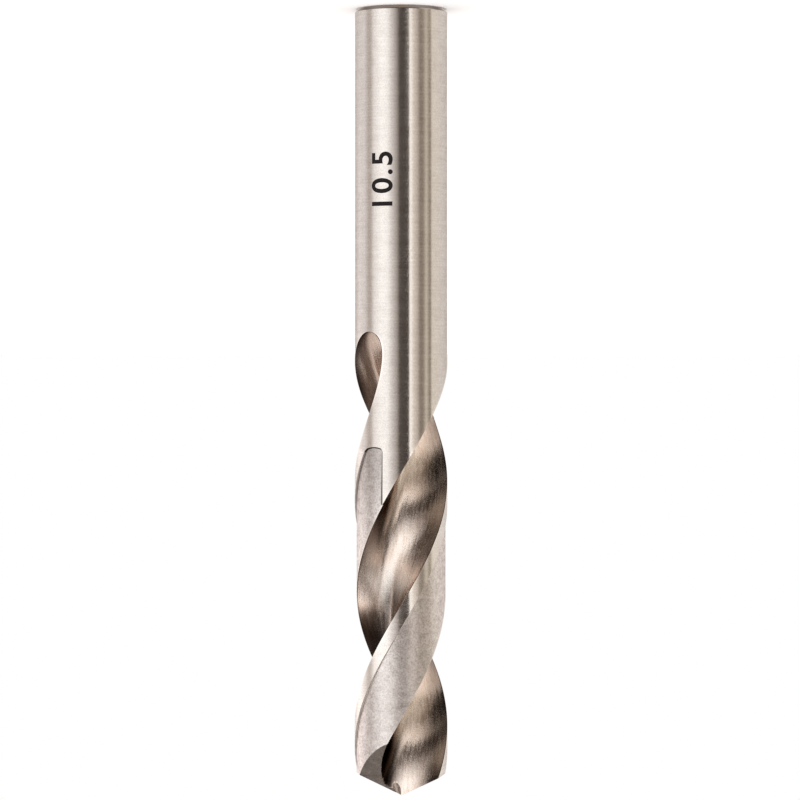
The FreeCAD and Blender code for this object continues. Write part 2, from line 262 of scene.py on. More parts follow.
@dataclass(frozen=True)
class FluteCutter:
    """The flute's cross section: an arc to the lip, a root arc and a straight heel side.

    The lip arc and the root arc touch at the web, on the line at right angles to the lip.
    """

    sizes: BitSizes

    @property
    def lip_radius(self) -> float:
        """Radius of the arc through the web and the cutting edge: half the chord squared over the rise.

        Returns:
            The radius.
        """
        angle = math.radians(self.sizes.edge_angle)
        across = self.sizes.radius * math.cos(angle)
        rise = self.sizes.radius * math.sin(angle) - self.sizes.half_web
        return (across**2 + rise**2) / (2.0 * rise)

    @property
    def root_turn(self) -> float:
        """Turn of the root arc to where the heel side leaves it as a tangent, in radians.

        Returns:
            The turn.
        """
        x, y = self.heel
        y -= self.sizes.half_web + self.sizes.root_radius
        tangent = math.atan2(y, x) + math.acos(self.sizes.root_radius / math.hypot(x, y))
        return 1.5 * math.pi - tangent

    @property
    def heel(self) -> tuple[float, float]:
        """The heel corner on the full diameter."""
        angle = math.radians(self.sizes.heel_angle)
        return self.sizes.radius * math.cos(angle), self.sizes.radius * math.sin(angle)

    def lip_meets(self, radius: np.ndarray, lift: np.ndarray) -> np.ndarray:
        """Turn along the lip arc at which it meets a circle about the axis.

        Two circles on one line meet at (r2 + d2 - a2) / 2d from the first one's centre.

        Args:
            radius: Radius of the circle about the axis.
            lift: How far the cutter stands out.

        Returns:
            The turn in radians, 0 where the arc stays outside.
        """
        centre = self.sizes.half_web + self.lip_radius + lift
        along = (radius**2 + centre**2 - self.lip_radius**2) / (2.0 * centre)
        across = np.sqrt(np.maximum(radius**2 - along**2, 0.0))
        return np.arcsin(np.minimum(across / self.lip_radius, 1.0))

    def heel_meets(self, radius: np.ndarray, lift: np.ndarray) -> np.ndarray:
        """Distance along the root arc and the heel side to a circle about the axis.

        The straight side meets it where t = -T.u + sqrt((T.u)2 - T2 + r2). If that is below the
        side's foot T, the meeting is on the root arc and is found as for the lip arc.

        Args:
            radius: Radius of the circle about the axis.
            lift: How far the cutter stands out.

        Returns:
            The distance in millimetres from the web.
        """
        root = self.sizes.root_radius
        foot_x, foot_y = self.foot
        along_x, along_y = self.side
        raised = foot_y + lift
        dot = foot_x * along_x + raised * along_y
        inner = dot**2 - foot_x**2 - raised**2 + radius**2
        straight = -dot + np.sqrt(np.maximum(inner, 0.0))
        centre = self.sizes.half_web + root + lift
        level = (radius**2 + centre**2 - root**2) / (2.0 * centre)
        turn = np.arccos(np.clip((centre - level) / root, -1.0, 1.0))
        on_side = (inner > 0.0) & (straight > 0.0)
        return np.where(on_side, root * self.root_turn + straight, root * np.minimum(turn, self.root_turn))

    @property
    def foot(self) -> tuple[float, float]:
        """Where the straight heel side leaves the root arc."""
        root = self.sizes.root_radius
        return (
            -root * math.sin(self.root_turn),
            self.sizes.half_web + root * (1.0 - math.cos(self.root_turn)),
        )

    @property
    def side(self) -> tuple[float, float]:
        """Direction of the straight heel side, outwards.

        Returns:
            Its two parts, for a length of 1.
        """
        x = self.heel[0] - self.foot[0]
        y = self.heel[1] - self.foot[1]
        length = math.hypot(x, y)
        return x / length, y / length

    def on_lip(self, turn: np.ndarray, lift: np.ndarray) -> np.ndarray:
        """Places on the lip arc: the sine across and one less the cosine up, from the web.

        Args:
            turn: Turn along the arc in radians.
            lift: How far the cutter stands out.

        Returns:
            The places, x and y last.
        """
        x = self.lip_radius * np.sin(turn)
        y = self.sizes.half_web + lift + self.lip_radius * (1.0 - np.cos(turn))
        return np.stack(np.broadcast_arrays(x, y), axis=-1)

    def on_heel(self, distance: np.ndarray, lift: np.ndarray) -> np.ndarray:
        """Places along the root arc and then along the straight side.

        Args:
            distance: Distance from the web.
            lift: How far the cutter stands out.

        Returns:
            The places, x and y last.
        """
        root = self.sizes.root_radius
        turn = np.minimum(distance / root, self.root_turn)
        beyond = np.maximum(distance - root * self.root_turn, 0.0)
        x = -root * np.sin(turn) + beyond * self.side[0]
        y = self.sizes.half_web + lift + root * (1.0 - np.cos(turn)) + beyond * self.side[1]
        return np.stack(np.broadcast_arrays(x, y), axis=-1)


@dataclass(frozen=True)
class FluteShade:
    """Painted shade in a flute, beside both edges, in its run-out and behind the point, and painted light."""

    sizes: BitSizes = field(default_factory=BitSizes)
    wave_middle: float = 58.1
    line_width: float = 0.16
    lip_width: float = 1.8
    lip_depth: float = 0.6
    heel_width: float = 1.8
    heel_depth: float = 0.82
    heel_rim: float = 2.4
    point_from: float = 80.5
    point_rise: float = 3.5
    point_width: float = 3.0
    point_depth: float = 0.99
    run_out_top: float = 43.0
    run_out_fade: float = 5.0
    run_out_width: float = 1.3
    run_out_depth: float = 0.9
    patch_middle: float = 66.5
    patch_length: float = 2.5
    patch_depth: float = 0.6
    patch_start: float = 3.4
    patch_rim: float = 1.6
    patch_end: float = 2.6
    lit_patch_middle: float = 64.9
    lit_patch_length: float = 2.8
    lit_patch_depth: float = 0.9
    lit_patch_width: float = 3.2
    lit_patch_rim: float = 1.8

    def at(self, height: np.ndarray, from_lip: np.ndarray, from_heel: np.ndarray) -> np.ndarray:
        """Painted shade below 0, and a patch of painted light beside the heel above 0.

        At the lip it is a bell curve of the distance. At the heel it is a flat stretch with an
        eased rim. Both come and go twice in half a turn, as 1 less the fourth power of a sine of
        the height. Near the point the heel's part is wide and steady, and in the run-out narrow.
        A second patch of painted shade and the patch of painted light are bell curves of the height,
        and the thin dark lines of painted shade along both edges are bell curves of the distance.
        The darkest of all counts.

        Args:
            height: Heights of the places.
            from_lip: Distance across the flute from the cutting edge.
            from_heel: Distance across the flute from the heel.

        Returns:
            The painted shade and light, from -1 to 1.
        """
        wave = 1.0 - np.sin(4.0 * math.pi * (height - self.wave_middle) / self.sizes.lead) ** 4
        near_point = eased((height - self.point_from) / self.point_rise)
        above_run_out = eased((height - self.run_out_top) / self.run_out_fade)
        width = self.heel_width + (self.point_width - self.heel_width) * near_point
        depth = self.heel_depth * wave + (self.point_depth - self.heel_depth * wave) * near_point
        # Painted shade beside the lip and beside the heel, and in the run-out a narrow band beside the heel.
        lip = self.lip_depth * wave * above_run_out * bell(from_lip / self.lip_width)
        heel = depth * above_run_out * (1.0 - eased((from_heel - width) / self.heel_rim))
        narrow = self.run_out_depth * (1.0 - above_run_out) * (1.0 - eased(from_heel / self.run_out_width))
        # A second patch of painted shade, away from both edges.
        patch = self.patch_depth * bell((height - self.patch_middle) / self.patch_length)
        patch = patch * eased((from_heel - self.patch_start) / self.patch_rim)
        patch = patch * eased(from_lip / self.patch_end)
        # Thin dark lines of painted shade along both edges.
        line = bell(np.minimum(from_lip, from_heel) / self.line_width)
        # A patch of painted light beside the heel, brightening the tone there.
        lit_patch = self.lit_patch_depth * bell((height - self.lit_patch_middle) / self.lit_patch_length)
        lit_patch = lit_patch * (1.0 - eased((from_heel - self.lit_patch_width) / self.lit_patch_rim))
        return lit_patch * (1.0 - line) - np.maximum.reduce([lip, heel, narrow, patch, line])


@dataclass(frozen=True)
class Sections:
    """The bit's sections at the heights of a strip's places, before the helix turns them.

    The level is the height of the row before it bends, and the part is how far across the strip
    a column is. The heel drop is how much of the clearance's depth is gone at the heel. The lip
    turn is in radians, and the angles of the cutting edge and the heel are in degrees.
    """

    level: np.ndarray
    height: np.ndarray
    part: np.ndarray
    lift: np.ndarray
    radius: np.ndarray
    heel_drop: np.ndarray
    lip_turn: np.ndarray
    heel_way: np.ndarray
    edge: np.ndarray
    heel: np.ndarray
    broken: np.ndarray


@dataclass
class BitSurface:
    """The whole bit as a grid: columns go round the section, and rows go up the axis.

    Every column keeps to one line of the real bit, such as the cutting edge, the foot of the
    margin's step or the heel, so these edges stay crisp. On the shank, where the flutes are gone,
    their columns have no width and are welded away.
    """

    sizes: BitSizes = field(default_factory=BitSizes)
    shade: FluteShade = field(default_factory=FluteShade)
    whole_columns: int = 20
    cleared_columns: int = 34
    margin_columns: int = 14
    lip_columns: int = 44
    heel_columns: int = 38
    line_columns: int = 3
    crowding: float = 0.35
    run_out_rows: int = 54
    end_rows: int = 5
    end_steps: tuple[float, ...] = (-0.28, -0.16, -0.08, -0.03, 0.0, 0.025, 0.05, 0.075, 0.1, 0.14, 0.2, 0.3)
    edge_steps: tuple[float, ...] = (-0.12, -0.05, 0.0, 0.06, 0.12)
    below_end: float = 0.4
    above_end: float = 0.6
    edge_room: float = 0.2
    row_height: float = 0.38
    blank_top: float = 90.2
    edge_break: float = 0.03
    step_width: float = 0.07
    end_width: float = 0.1
    heel_step: float = 0.06
    arch_height: float = 0.25
    corner_round: float = 0.35
    corner_end: float = 0.98
    bend_reach: float = 2.0
    bend_power: int = 6
    glint_width: float = 0.12
    end_dark_share: float = 0.34
    end_dark_reach: float = 11.0
    face_rings: tuple[float, ...] = (0.0, 0.35, 0.7)
    end_round: float = 0.04
    round_in: float = 0.4
    round_out: float = 0.7
    side_start: float = 1.0
    side_room: float = 0.3
    side_rings: int = 14

    @property
    def cutter(self) -> FluteCutter:
        """The section of the flute's cutter."""
        return FluteCutter(self.sizes)

    @property
    def counts(self) -> list[int]:
        """Columns of the whole land, the cleared land, the margin and the flute's two sides."""
        land = [self.whole_columns, self.cleared_columns, self.margin_columns]
        return [*land, self.lip_columns, self.heel_columns]

    @property
    def column_zones(self) -> np.ndarray:
        """Zone of each column of one half, with the lengthwise edge and the step's wall between.

        Returns:
            The zones' numbers.
        """
        zones = (Zone.SHANK, Zone.LAND, Zone.MARGIN, Zone.FLUTE, Zone.FLUTE)
        kinds = np.repeat([zone.value for zone in zones], self.counts)
        foot = self.whole_columns - 1
        # The lengthwise edge's columns take the step's dark tones, a painted shade line.
        kinds[foot : foot + self.line_columns] = Zone.STEP.value
        kinds[self.whole_columns + self.cleared_columns - 1] = Zone.WALL.value
        return kinds

    @property
    def row_heights(self) -> np.ndarray:
        """Heights of the rows: close where an edge crosses them and where the flutes end.

        Returns:
            The rising heights.
        """
        sizes = self.sizes
        end = sizes.clearance_end
        run_out = sizes.run_out_start - sizes.flute_tip
        near_tip = sizes.flute_tip + run_out * np.linspace(0.0, 1.0, self.run_out_rows) ** 2
        near_tip = near_tip[near_tip < end - self.below_end]
        body = np.arange(end + self.above_end, self.blank_top - self.row_height, self.row_height)
        body = body[np.abs(body - sizes.edge_top) > self.edge_room]
        near_end = end + np.array(self.end_steps)
        near_edge_top = sizes.edge_top + np.array(self.edge_steps)
        rows = np.concatenate([near_tip, near_end, near_edge_top, body, [self.blank_top]])
        return np.unique(np.round(rows, 5))

    @property
    def shank_rings(self) -> np.ndarray:
        """Radius and height of the rings from the end face's centre up to the flutes' tips.

        Returns:
            One row for each ring.
        """
        outer = self.sizes.shank_radius
        chamfer = self.sizes.chamfer
        inner = outer - chamfer
        near = self.round_in * self.end_round
        far = self.round_out * self.end_round
        rings = [(share * inner, 0.0) for share in self.face_rings]
        rings += [(inner - self.end_round, 0.0), (inner + near, near)]
        rings += [(outer - far, chamfer - far), (outer, chamfer + self.end_round)]
        side = np.linspace(self.side_start, self.sizes.flute_tip - self.side_room, self.side_rings)
        rings += [(outer, height) for height in side]
        return np.array(rings)

    def bend(self, along: np.ndarray, width: float) -> np.ndarray:
        """Height added to the clearance's end, which is a flat arch with rounded corners.

        The arch is a parabola over the width, and each corner is almost a quarter circle.

        Args:
            along: Distance from the lengthwise edge, round the bit.
            width: Width of the cleared land at its end.

        Returns:
            The added height, negative towards the shank.
        """
        middle = 2.0 * along / width - 1.0
        arch = -self.arch_height * (1.0 - middle**2)
        to_side = np.clip(np.minimum(along, width - along), 0.0, self.corner_round)
        inside = 1.0 - to_side / self.corner_round
        return arch + self.corner_round * (1.0 - np.sqrt(1.0 - inside**2 * self.corner_end))

    def bent_heights(self, level: np.ndarray, parts: list[np.ndarray]) -> list[np.ndarray]:
        """Heights of the places, in rows that bend with the arched end of the clearance.

        The bend eases away with the height, and beside the cleared land with a power of the
        distance across. It leaves the flute alone.

        Args:
            level: Height of each row, as one column.
            parts: For each strip of columns, how far across it each one is.

        Returns:
            For each strip, the heights (row, column).
        """
        width = math.radians(self.sizes.cleared_angle) * self.sizes.radius
        near = eased(1.0 - np.abs(level - self.sizes.clearance_end) / self.bend_reach)
        first, last = self.bend(np.array([0.0, width]), width)
        whole, cleared, margin, lip_side, heel_side = parts
        bends = [first * whole**self.bend_power, self.bend(cleared * width, width)]
        bends += [last * (1.0 - margin) ** self.bend_power, 0.0 * lip_side, 0.0 * heel_side]
        return [level + near * bend for bend in bends]

    def sections(self, level: np.ndarray, height: np.ndarray, part: np.ndarray) -> Sections:
        """Where the flute's cutter meets the bar, whose sharp corners are then broken.

        Args:
            level: Height of each row, as one column.
            height: Heights of the places (row, column).
            part: How far across the strip each column is.

        Returns:
            The sections at those heights.
        """
        lift = self.sizes.lift(height)
        radius = self.sizes.bar_radius(height)
        heel_drop = eased((height - self.sizes.edge_top) / self.heel_step)
        heel_radius = radius + (self.sizes.cleared_radius - radius) * heel_drop
        heel_way = self.cutter.heel_meets(heel_radius, lift)
        lip_turn = self.cutter.lip_meets(radius, lift)
        edge = section_angle(self.cutter.on_lip(lip_turn, lift))
        heel = section_angle(self.cutter.on_heel(heel_way, lift)) - HALF_TURN
        opening = np.radians(HALF_TURN + heel - edge) * radius
        broken = self.edge_break * np.clip(opening, 0.0, 1.0)
        return Sections(level, height, part, lift, radius, heel_drop, lip_turn, heel_way, edge, heel, broken)

    def borders(self, at: Sections) -> tuple[np.ndarray, np.ndarray]:
        """Angles of the land's inner borders.

        The lengthwise edge keeps its direction in space, so in the turning section it falls back
        until it meets the heel. Below the clearance all borders spread with the land.

        Args:
            at: The sections.

        Returns:
            The angle of the lengthwise edge and of the margin's step.
        """
        sizes = self.sizes
        growth = (at.edge - at.heel) / (HALF_TURN - sizes.flute_opening)
        margin = at.edge - sizes.margin_angle * growth
        back = np.clip(sizes.edge_top - at.height, 0.0, sizes.clearance_edge)
        upright = sizes.heel_angle - HALF_TURN + FULL_TURN * back / sizes.lead
        edge = np.where(at.height > sizes.clearance_end, upright, margin - sizes.cleared_angle * growth)
        return np.maximum(edge, at.heel), margin

    def on_bar(
        self, at: Sections, lower: np.ndarray, upper: np.ndarray, drop: np.ndarray | float
    ) -> Strip:
        """Places on the bar between two angles, and their closeness to a long edge as painted highlight.

        A place is the radius times the angle's cosine and sine. The closeness is e to the power
        of minus the distance to the nearer edge over the painted highlight's width.

        Args:
            at: The sections.
            lower: Angle where the strip starts.
            upper: Angle where it ends.
            drop: Share of the clearance's depth that is gone.

        Returns:
            Places in the section (row, column, x and y) and closeness, the painted highlight (row, column).
        """
        angle = np.radians(lower + (upper - lower) * at.part)
        reach = at.radius + (self.sizes.cleared_radius - at.radius) * drop
        places = np.stack([reach * np.cos(angle), reach * np.sin(angle)], axis=-1)
        to_edge = (np.radians(at.edge) - angle) * at.radius
        to_heel = (angle - np.radians(at.heel)) * at.radius
        # The closeness paints a highlight along the long edges.
        return places, np.exp(-np.minimum(to_edge, to_heel) / self.glint_width)

    def whole_land(self, at: Sections) -> Strip:
        """Places and painted edge highlight from the heel to the lengthwise edge.

        Args:
            at: The sections.

        Returns:
            The strip.
        """
        edge, _ = self.borders(at)
        lower = np.minimum(at.heel + np.degrees(at.broken / at.radius), edge)
        return self.on_bar(at, lower, edge, at.heel_drop)

    def cleared_land(self, at: Sections) -> Strip:
        """Places and painted highlight of the cleared land, darker near its end, between its steps' walls.

        Args:
            at: The sections.

        Returns:
            The strip.
        """
        edge, margin = self.borders(at)
        above_end = at.level - self.sizes.clearance_end
        drop = eased(above_end / self.end_width)
        wall = np.degrees(self.step_width / at.radius) * drop
        lower = np.minimum(edge, margin) + wall * (edge > at.heel + TINY)
        places, bright = self.on_bar(at, lower, margin - wall, drop)
        # The cleared land's tone is made darker near its end.
        end_dark = self.end_dark_share * drop * (1.0 - eased(above_end / self.end_dark_reach))
        return places, bright - end_dark * (1.0 - bright)

    def margin(self, at: Sections) -> Strip:
        """Places and painted edge highlight from the margin's step to the cutting edge.

        Args:
            at: The sections.

        Returns:
            The strip.
        """
        _, margin = self.borders(at)
        upper = at.edge - np.degrees(at.broken / at.radius)
        return self.on_bar(at, np.minimum(margin, upper), upper, 0.0)

    def lip_side(self, at: Sections) -> Strip:
        """Places and painted shade from the cutting edge down the lip arc to the web.

        Args:
            at: The sections.

        Returns:
            The strip.
        """
        radius = self.cutter.lip_radius
        turn = (at.lip_turn - at.broken / radius) * (1.0 - at.part)
        shade = self.shade.at(at.height, (at.lip_turn - turn) * radius, turn * radius + at.heel_way)
        return self.cutter.on_lip(turn, at.lift), shade

    def heel_side(self, at: Sections) -> Strip:
        """Places and painted shade from the web up to the heel.

        Args:
            at: The sections.

        Returns:
            The strip.
        """
        way = (at.heel_way - at.broken) * at.part
        shade = self.shade.at(at.height, at.lip_turn * self.cutter.lip_radius + way, at.heel_way - way)
        return self.cutter.on_heel(way, at.lift), shade

    def half(self) -> tuple[np.ndarray, np.ndarray, np.ndarray]:
        """One land and one flute, strip by strip.

        Returns:
            Places in the turning section (row, column, x and y), heights (row, column) and
            the painted highlight by closeness to a long edge (row, column; below 0 where shade is painted).
        """
        level = self.row_heights[:, None]
        parts = [spread(count, self.crowding) for count in self.counts]
        heights = self.bent_heights(level, parts)
        makers = (self.whole_land, self.cleared_land, self.margin, self.lip_side, self.heel_side)
        strips = []
        for maker, height, part in zip(makers, heights, parts):
            strips.append(maker(self.sections(level, height, part)))
        places, highlight_and_shade = (np.concatenate(strip, axis=1) for strip in zip(*strips))
        return places, np.concatenate(heights, axis=1), highlight_and_shade

    def shank(self, foot: np.ndarray) -> np.ndarray:
        """Rings of the end face, its chamfer and the shank.

        Each place is the direction of the lowest section's place times the ring's radius.

        Args:
            foot: Places of the lowest section (column, xyz).

        Returns:
            Places (row, column, xyz).
        """
        outwards = foot[:, :2] / np.linalg.norm(foot[:, :2], axis=-1, keepdims=True)
        radius, height = self.shank_rings.T
        rings = np.empty((len(radius), *foot.shape))
        rings[..., :2] = outwards * radius[:, None, None]
        rings[..., 2] = height[:, None]
        return rings

    @staticmethod
    def way_round(section: np.ndarray) -> np.ndarray:
        """Distance round the bit to each column, summed up from step to step.

        Args:
            section: Places of one half's section (column, x and y).

        Returns:
            The distance for the columns of both halves.
        """
        steps = np.linalg.norm(np.roll(section, -1, axis=0) - section, axis=-1)
        steps[-1] = steps[-2]
        way = np.concatenate([[0.0], np.cumsum(steps)[:-1]])
        return np.concatenate([way, way + way[-1]])

    def grid(self) -> tuple[np.ndarray, np.ndarray, np.ndarray]:
        """Places of the shank and the fluted part, both halves.

        A section is turned by the helix, and the other half is the same one half a turn round.

        Returns:
            Places (row, column, xyz), coordinates along the surface (row, column, uv) and
            the painted highlight by closeness to a long edge (row, column; below 0 where shade is painted).
        """
        section, heights, highlight_and_shade = self.half()
        angle = np.radians(self.sizes.turn(heights))
        halves = []
        for flip in (0.0, math.pi):
            cosine = np.cos(angle + flip)
            sine = np.sin(angle + flip)
            x = section[..., 0] * cosine - section[..., 1] * sine
            y = section[..., 0] * sine + section[..., 1] * cosine
            halves.append(np.stack([x, y, heights], axis=-1))
        body = np.concatenate(halves, axis=1)
        shank = self.shank(body[0])
        places = np.concatenate([shank, body])
        along = places[..., 2] / math.cos(math.radians(self.sizes.helix_angle))
        surface = np.stack([self.way_round(section[-1]) + 0.0 * along, along], axis=-1)
        unpainted = np.zeros(shank.shape[:2])
        return places, surface, np.concatenate([unpainted, np.tile(highlight_and_shade, 2)])

    def face_zones(self, level: np.ndarray) -> np.ndarray:
        """Zone of each face: the shank's below the clearance's end, and the step's painted shade along that
        end.

        Args:
            level: Height of each face's first corner (row, column).

        Returns:
            The zones' numbers, the top face's last.
        """
        kinds = np.tile(self.column_zones, (len(level), 2))
        tips = len(self.shank_rings)
        first = tips + int(np.searchsorted(self.row_heights, self.sizes.clearance_end + TINY)) - 1
        kinds[:tips] = Zone.SHANK.value
        below = kinds[:first]
        below[below != Zone.FLUTE.value] = Zone.SHANK.value
        kinds[(level > self.sizes.edge_top) & (kinds == Zone.STEP.value)] = Zone.LAND.value
        # The cleared land's first rows above its end take the step's dark tones, painted shade.
        end = kinds[first : first + self.end_rows]
        end[end == Zone.LAND.value] = Zone.STEP.value
        return np.append(kinds.reshape(-1), Zone.FACET.value)

    @staticmethod
    def map_surface(mesh: bpy.types.Mesh, surface: np.ndarray) -> None:
        """Gives the mesh the map that the marks in the flutes run along, in metres.

        The last column's faces end at the first column, which is a whole way round further on.

        Args:
            mesh: The mesh, with its side faces first.
            surface: Coordinates along the surface (row, column, uv).
        """
        rows, columns = surface.shape[:2]
        corners = np.empty(len(mesh.loops), dtype=np.int64)
        mesh.loops.foreach_get("vertex_index", corners)
        coordinates = surface.reshape(-1, 2)[corners]
        sides = coordinates[: 4 * (rows - 1) * columns].reshape(rows - 1, columns, 4, 2)
        sides[:, -1, 1:3, 0] += surface[0, 1, 0] - surface[0, 0, 0] + surface[0, -1, 0]
        layer = mesh.uv_layers.new(name="GrindMap")
        layer.data.foreach_set("uv", (coordinates * MM).astype(np.float32).reshape(-1))

    def build(self, name: str) -> bpy.types.Object:
        """The blank as a closed mesh in millimetres, before its point is ground.

        Args:
            name: Name of the object.

        Returns:
            The new object, linked to the scene.
        """
        places, surface, highlight_and_shade = self.grid()
        rows, columns = places.shape[:2]
        top = list(range((rows - 1) * columns, rows * columns))
        mesh = bpy.data.meshes.new(name)
        mesh.from_pydata(places.reshape(-1, 3).tolist(), [], [*ring_faces(rows, columns).tolist(), top])
        self.map_surface(mesh, surface)
        # The attribute holds the painted edge highlight above 0 and the painted shade below 0.
        closeness = mesh.attributes.new("edge_glint_and_shade", "FLOAT", "POINT")
        closeness.data.foreach_set("value", highlight_and_shade.reshape(-1).astype(np.float32))
        materials = self.face_zones(places[:-1, :, 2])
        mesh.polygons.foreach_set("material_index", materials.astype(np.int32))
        mesh.update()
        weld(mesh)
        return link(name, mesh)


def weld(mesh: bpy.types.Mesh, distance: float = 1e-4) -> None:
    """Merges places that coincide and drops the faces that this leaves without area.

    Args:
        mesh: The mesh, changed in place.
        distance: Places closer than this become one.
    """
    work = bmesh.new()
    work.from_mesh(mesh)
    bmesh.ops.remove_doubles(work, verts=work.verts, dist=distance)
    bmesh.ops.dissolve_degenerate(work, edges=work.edges, dist=distance / 10.0)
    bmesh.ops.recalc_face_normals(work, faces=work.faces)
    work.to_mesh(mesh)
    work.free()


@dataclass
class PointGrinding:
    """The grinding of the point: two relief facets, two steep heel facets and two thinning grooves.

    Each cut is a closed body that is taken from the blank. Angles are in degrees and count from
    the direction of the first lip.
    """

    sizes: BitSizes = field(default_factory=BitSizes)
    heel_facing: float = -115.2
    heel_slope: float = 53.0
    wall_direction: float = -101.0
    wall_offset: float = 0.06
    chisel_length: float = 0.3
    groove_direction: float = -89.0
    groove_slope: float = 60.0
    groove_radius: float = 0.5
    groove_length: float = 3.0
    groove_sides: int = 48
    reach: float = 16.0

    def column(self, footprint: np.ndarray, place: np.ndarray, normal: np.ndarray) -> Solid:
        """A body over a four-sided footprint whose floor lies in a plane.

        The floor's height is h = z0 - (n.x (x - x0) + n.y (y - y0)) / n.z.

        Args:
            footprint: The four corners in plan, counter-clockwise.
            place: A place in the plane.
            normal: The plane's upward normal.

        Returns:
            The eight corners and the six faces.
        """
        floor = place[2] - ((footprint - place[:2]) @ normal[:2]) / normal[2]
        bottom = np.column_stack([footprint, floor])
        top = np.column_stack([footprint, np.full(4, floor.max() + self.reach)])
        faces = [[3, 2, 1, 0], [4, 5, 6, 7], [0, 1, 5, 4], [1, 2, 6, 5], [2, 3, 7, 6], [3, 0, 4, 7]]
        return np.concatenate([bottom, top]), faces

    def relief(self) -> Solid:
        """The body above a relief facet, whose plane holds the lip and falls away behind it.

        Returns:
            Its corners and faces.
        """
        half = math.radians(RIGHT_ANGLE - self.sizes.half_point)
        fall = math.radians(self.sizes.relief_angle)
        normal = np.array([math.cos(fall) * math.sin(half), -math.sin(fall), math.cos(fall) * math.cos(half)])
        place = np.array([0.0, self.sizes.half_web, self.sizes.lip_vertex])
        footprint = self.reach * np.array([[-1.0, -1.0], [1.0, -1.0], [1.0, 1.0], [-1.0, 1.0]])
        return self.column(footprint, place, normal)

    def heel(self) -> Solid:
        """The body above a steep heel facet, on one side of an upright wall beside the axis.

        Returns:
            Its corners and faces.
        """
        facing = math.radians(self.heel_facing)
        slope = math.radians(self.heel_slope)
        ahead = np.array([math.cos(facing), math.sin(facing)])
        normal = np.array([*(ahead * math.sin(slope)), math.cos(slope)])
        place = np.array([*(ahead * self.chisel_length / 2.0), self.sizes.length])
        wall = math.radians(self.wall_direction)
        along = np.array([math.cos(wall), math.sin(wall)])
        aside = np.array([-along[1], along[0]])
        foot = -aside * self.wall_offset
        near = self.reach * along
        far = self.reach * aside
        footprint = np.stack([foot - near, foot + near, foot + near + far, foot - near + far])
        return self.column(footprint, place, normal)

    def groove(self) -> Solid:
        """The round bar whose side cuts the groove: a circle carried along the groove's slope.

        Returns:
            The places of both end circles, and the side faces with the two ends.
        """
        direction = math.radians(self.groove_direction)
        slope = math.radians(self.groove_slope)
        ahead = np.array([math.cos(direction), math.sin(direction), 0.0])
        upward = np.array([0.0, 0.0, 1.0])
        down_slope = ahead * math.cos(slope) - upward * math.sin(slope)
        outward = ahead * math.sin(slope) + upward * math.cos(slope)
        sideways = np.cross(down_slope, outward)
        start = ahead * self.chisel_length / 2.0 + upward * self.sizes.length
        centre = start + outward * self.groove_radius
        count = self.groove_sides
        turn = 2.0 * math.pi * np.arange(count) / count
        circle = self.groove_radius * (np.cos(turn)[:, None] * outward + np.sin(turn)[:, None] * sideways)
        low = centre + self.groove_length * down_slope + circle
        high = centre - self.groove_length * down_slope + circle
        ends = [list(range(count))[::-1], list(range(count, 2 * count))]
        return np.concatenate([low, high]), [*ring_faces(2, count).tolist(), *ends]

    def cutters(self) -> list[bpy.types.Object]:
        """All six bodies as objects, turned to the lip's direction and repeated half a turn round.

        Returns:
            The objects, with the zone of their faces as the material's number.
        """
        made = []
        for name, zone, (places, faces) in (
            ("relief", Zone.FACET, self.relief()),
            ("heel", Zone.FACET, self.heel()),
            ("groove", Zone.GROOVE, self.groove()),
        ):
            for flip in (0.0, HALF_TURN):
                turn = math.radians(self.sizes.lip_direction + flip)
                cosine = math.cos(turn)
                sine = math.sin(turn)
                matrix = np.array([[cosine, -sine, 0.0], [sine, cosine, 0.0], [0.0, 0.0, 1.0]])
                mesh = bpy.data.meshes.new(name)
                mesh.from_pydata((places @ matrix.T).tolist(), [], faces)
                mesh.polygons.foreach_set("material_index", np.full(len(faces), zone.value, dtype=np.int32))
                weld(mesh)
                made.append(link(name, mesh))
        return made

    def grind(self, blank: bpy.types.Object) -> None:
        """Takes every cut from the blank and keeps the result as its mesh.

        Args:
            blank: The closed blank, changed in place.
        """
        cutters = self.cutters()
        for cutter in cutters:
            for slot in blank.data.materials:
                cutter.data.materials.append(slot)
            cut = blank.modifiers.new(cutter.name, "BOOLEAN")
            cut.operation = "DIFFERENCE"
            cut.solver = "EXACT"
            cut.object = cutter
        graph = bpy.context.evaluated_depsgraph_get()
        ground = bpy.data.meshes.new_from_object(blank.evaluated_get(graph), depsgraph=graph)
        blank.modifiers.clear()
        blank.data = ground
        for cutter in cutters:
            bpy.data.objects.remove(cutter, do_unlink=True)


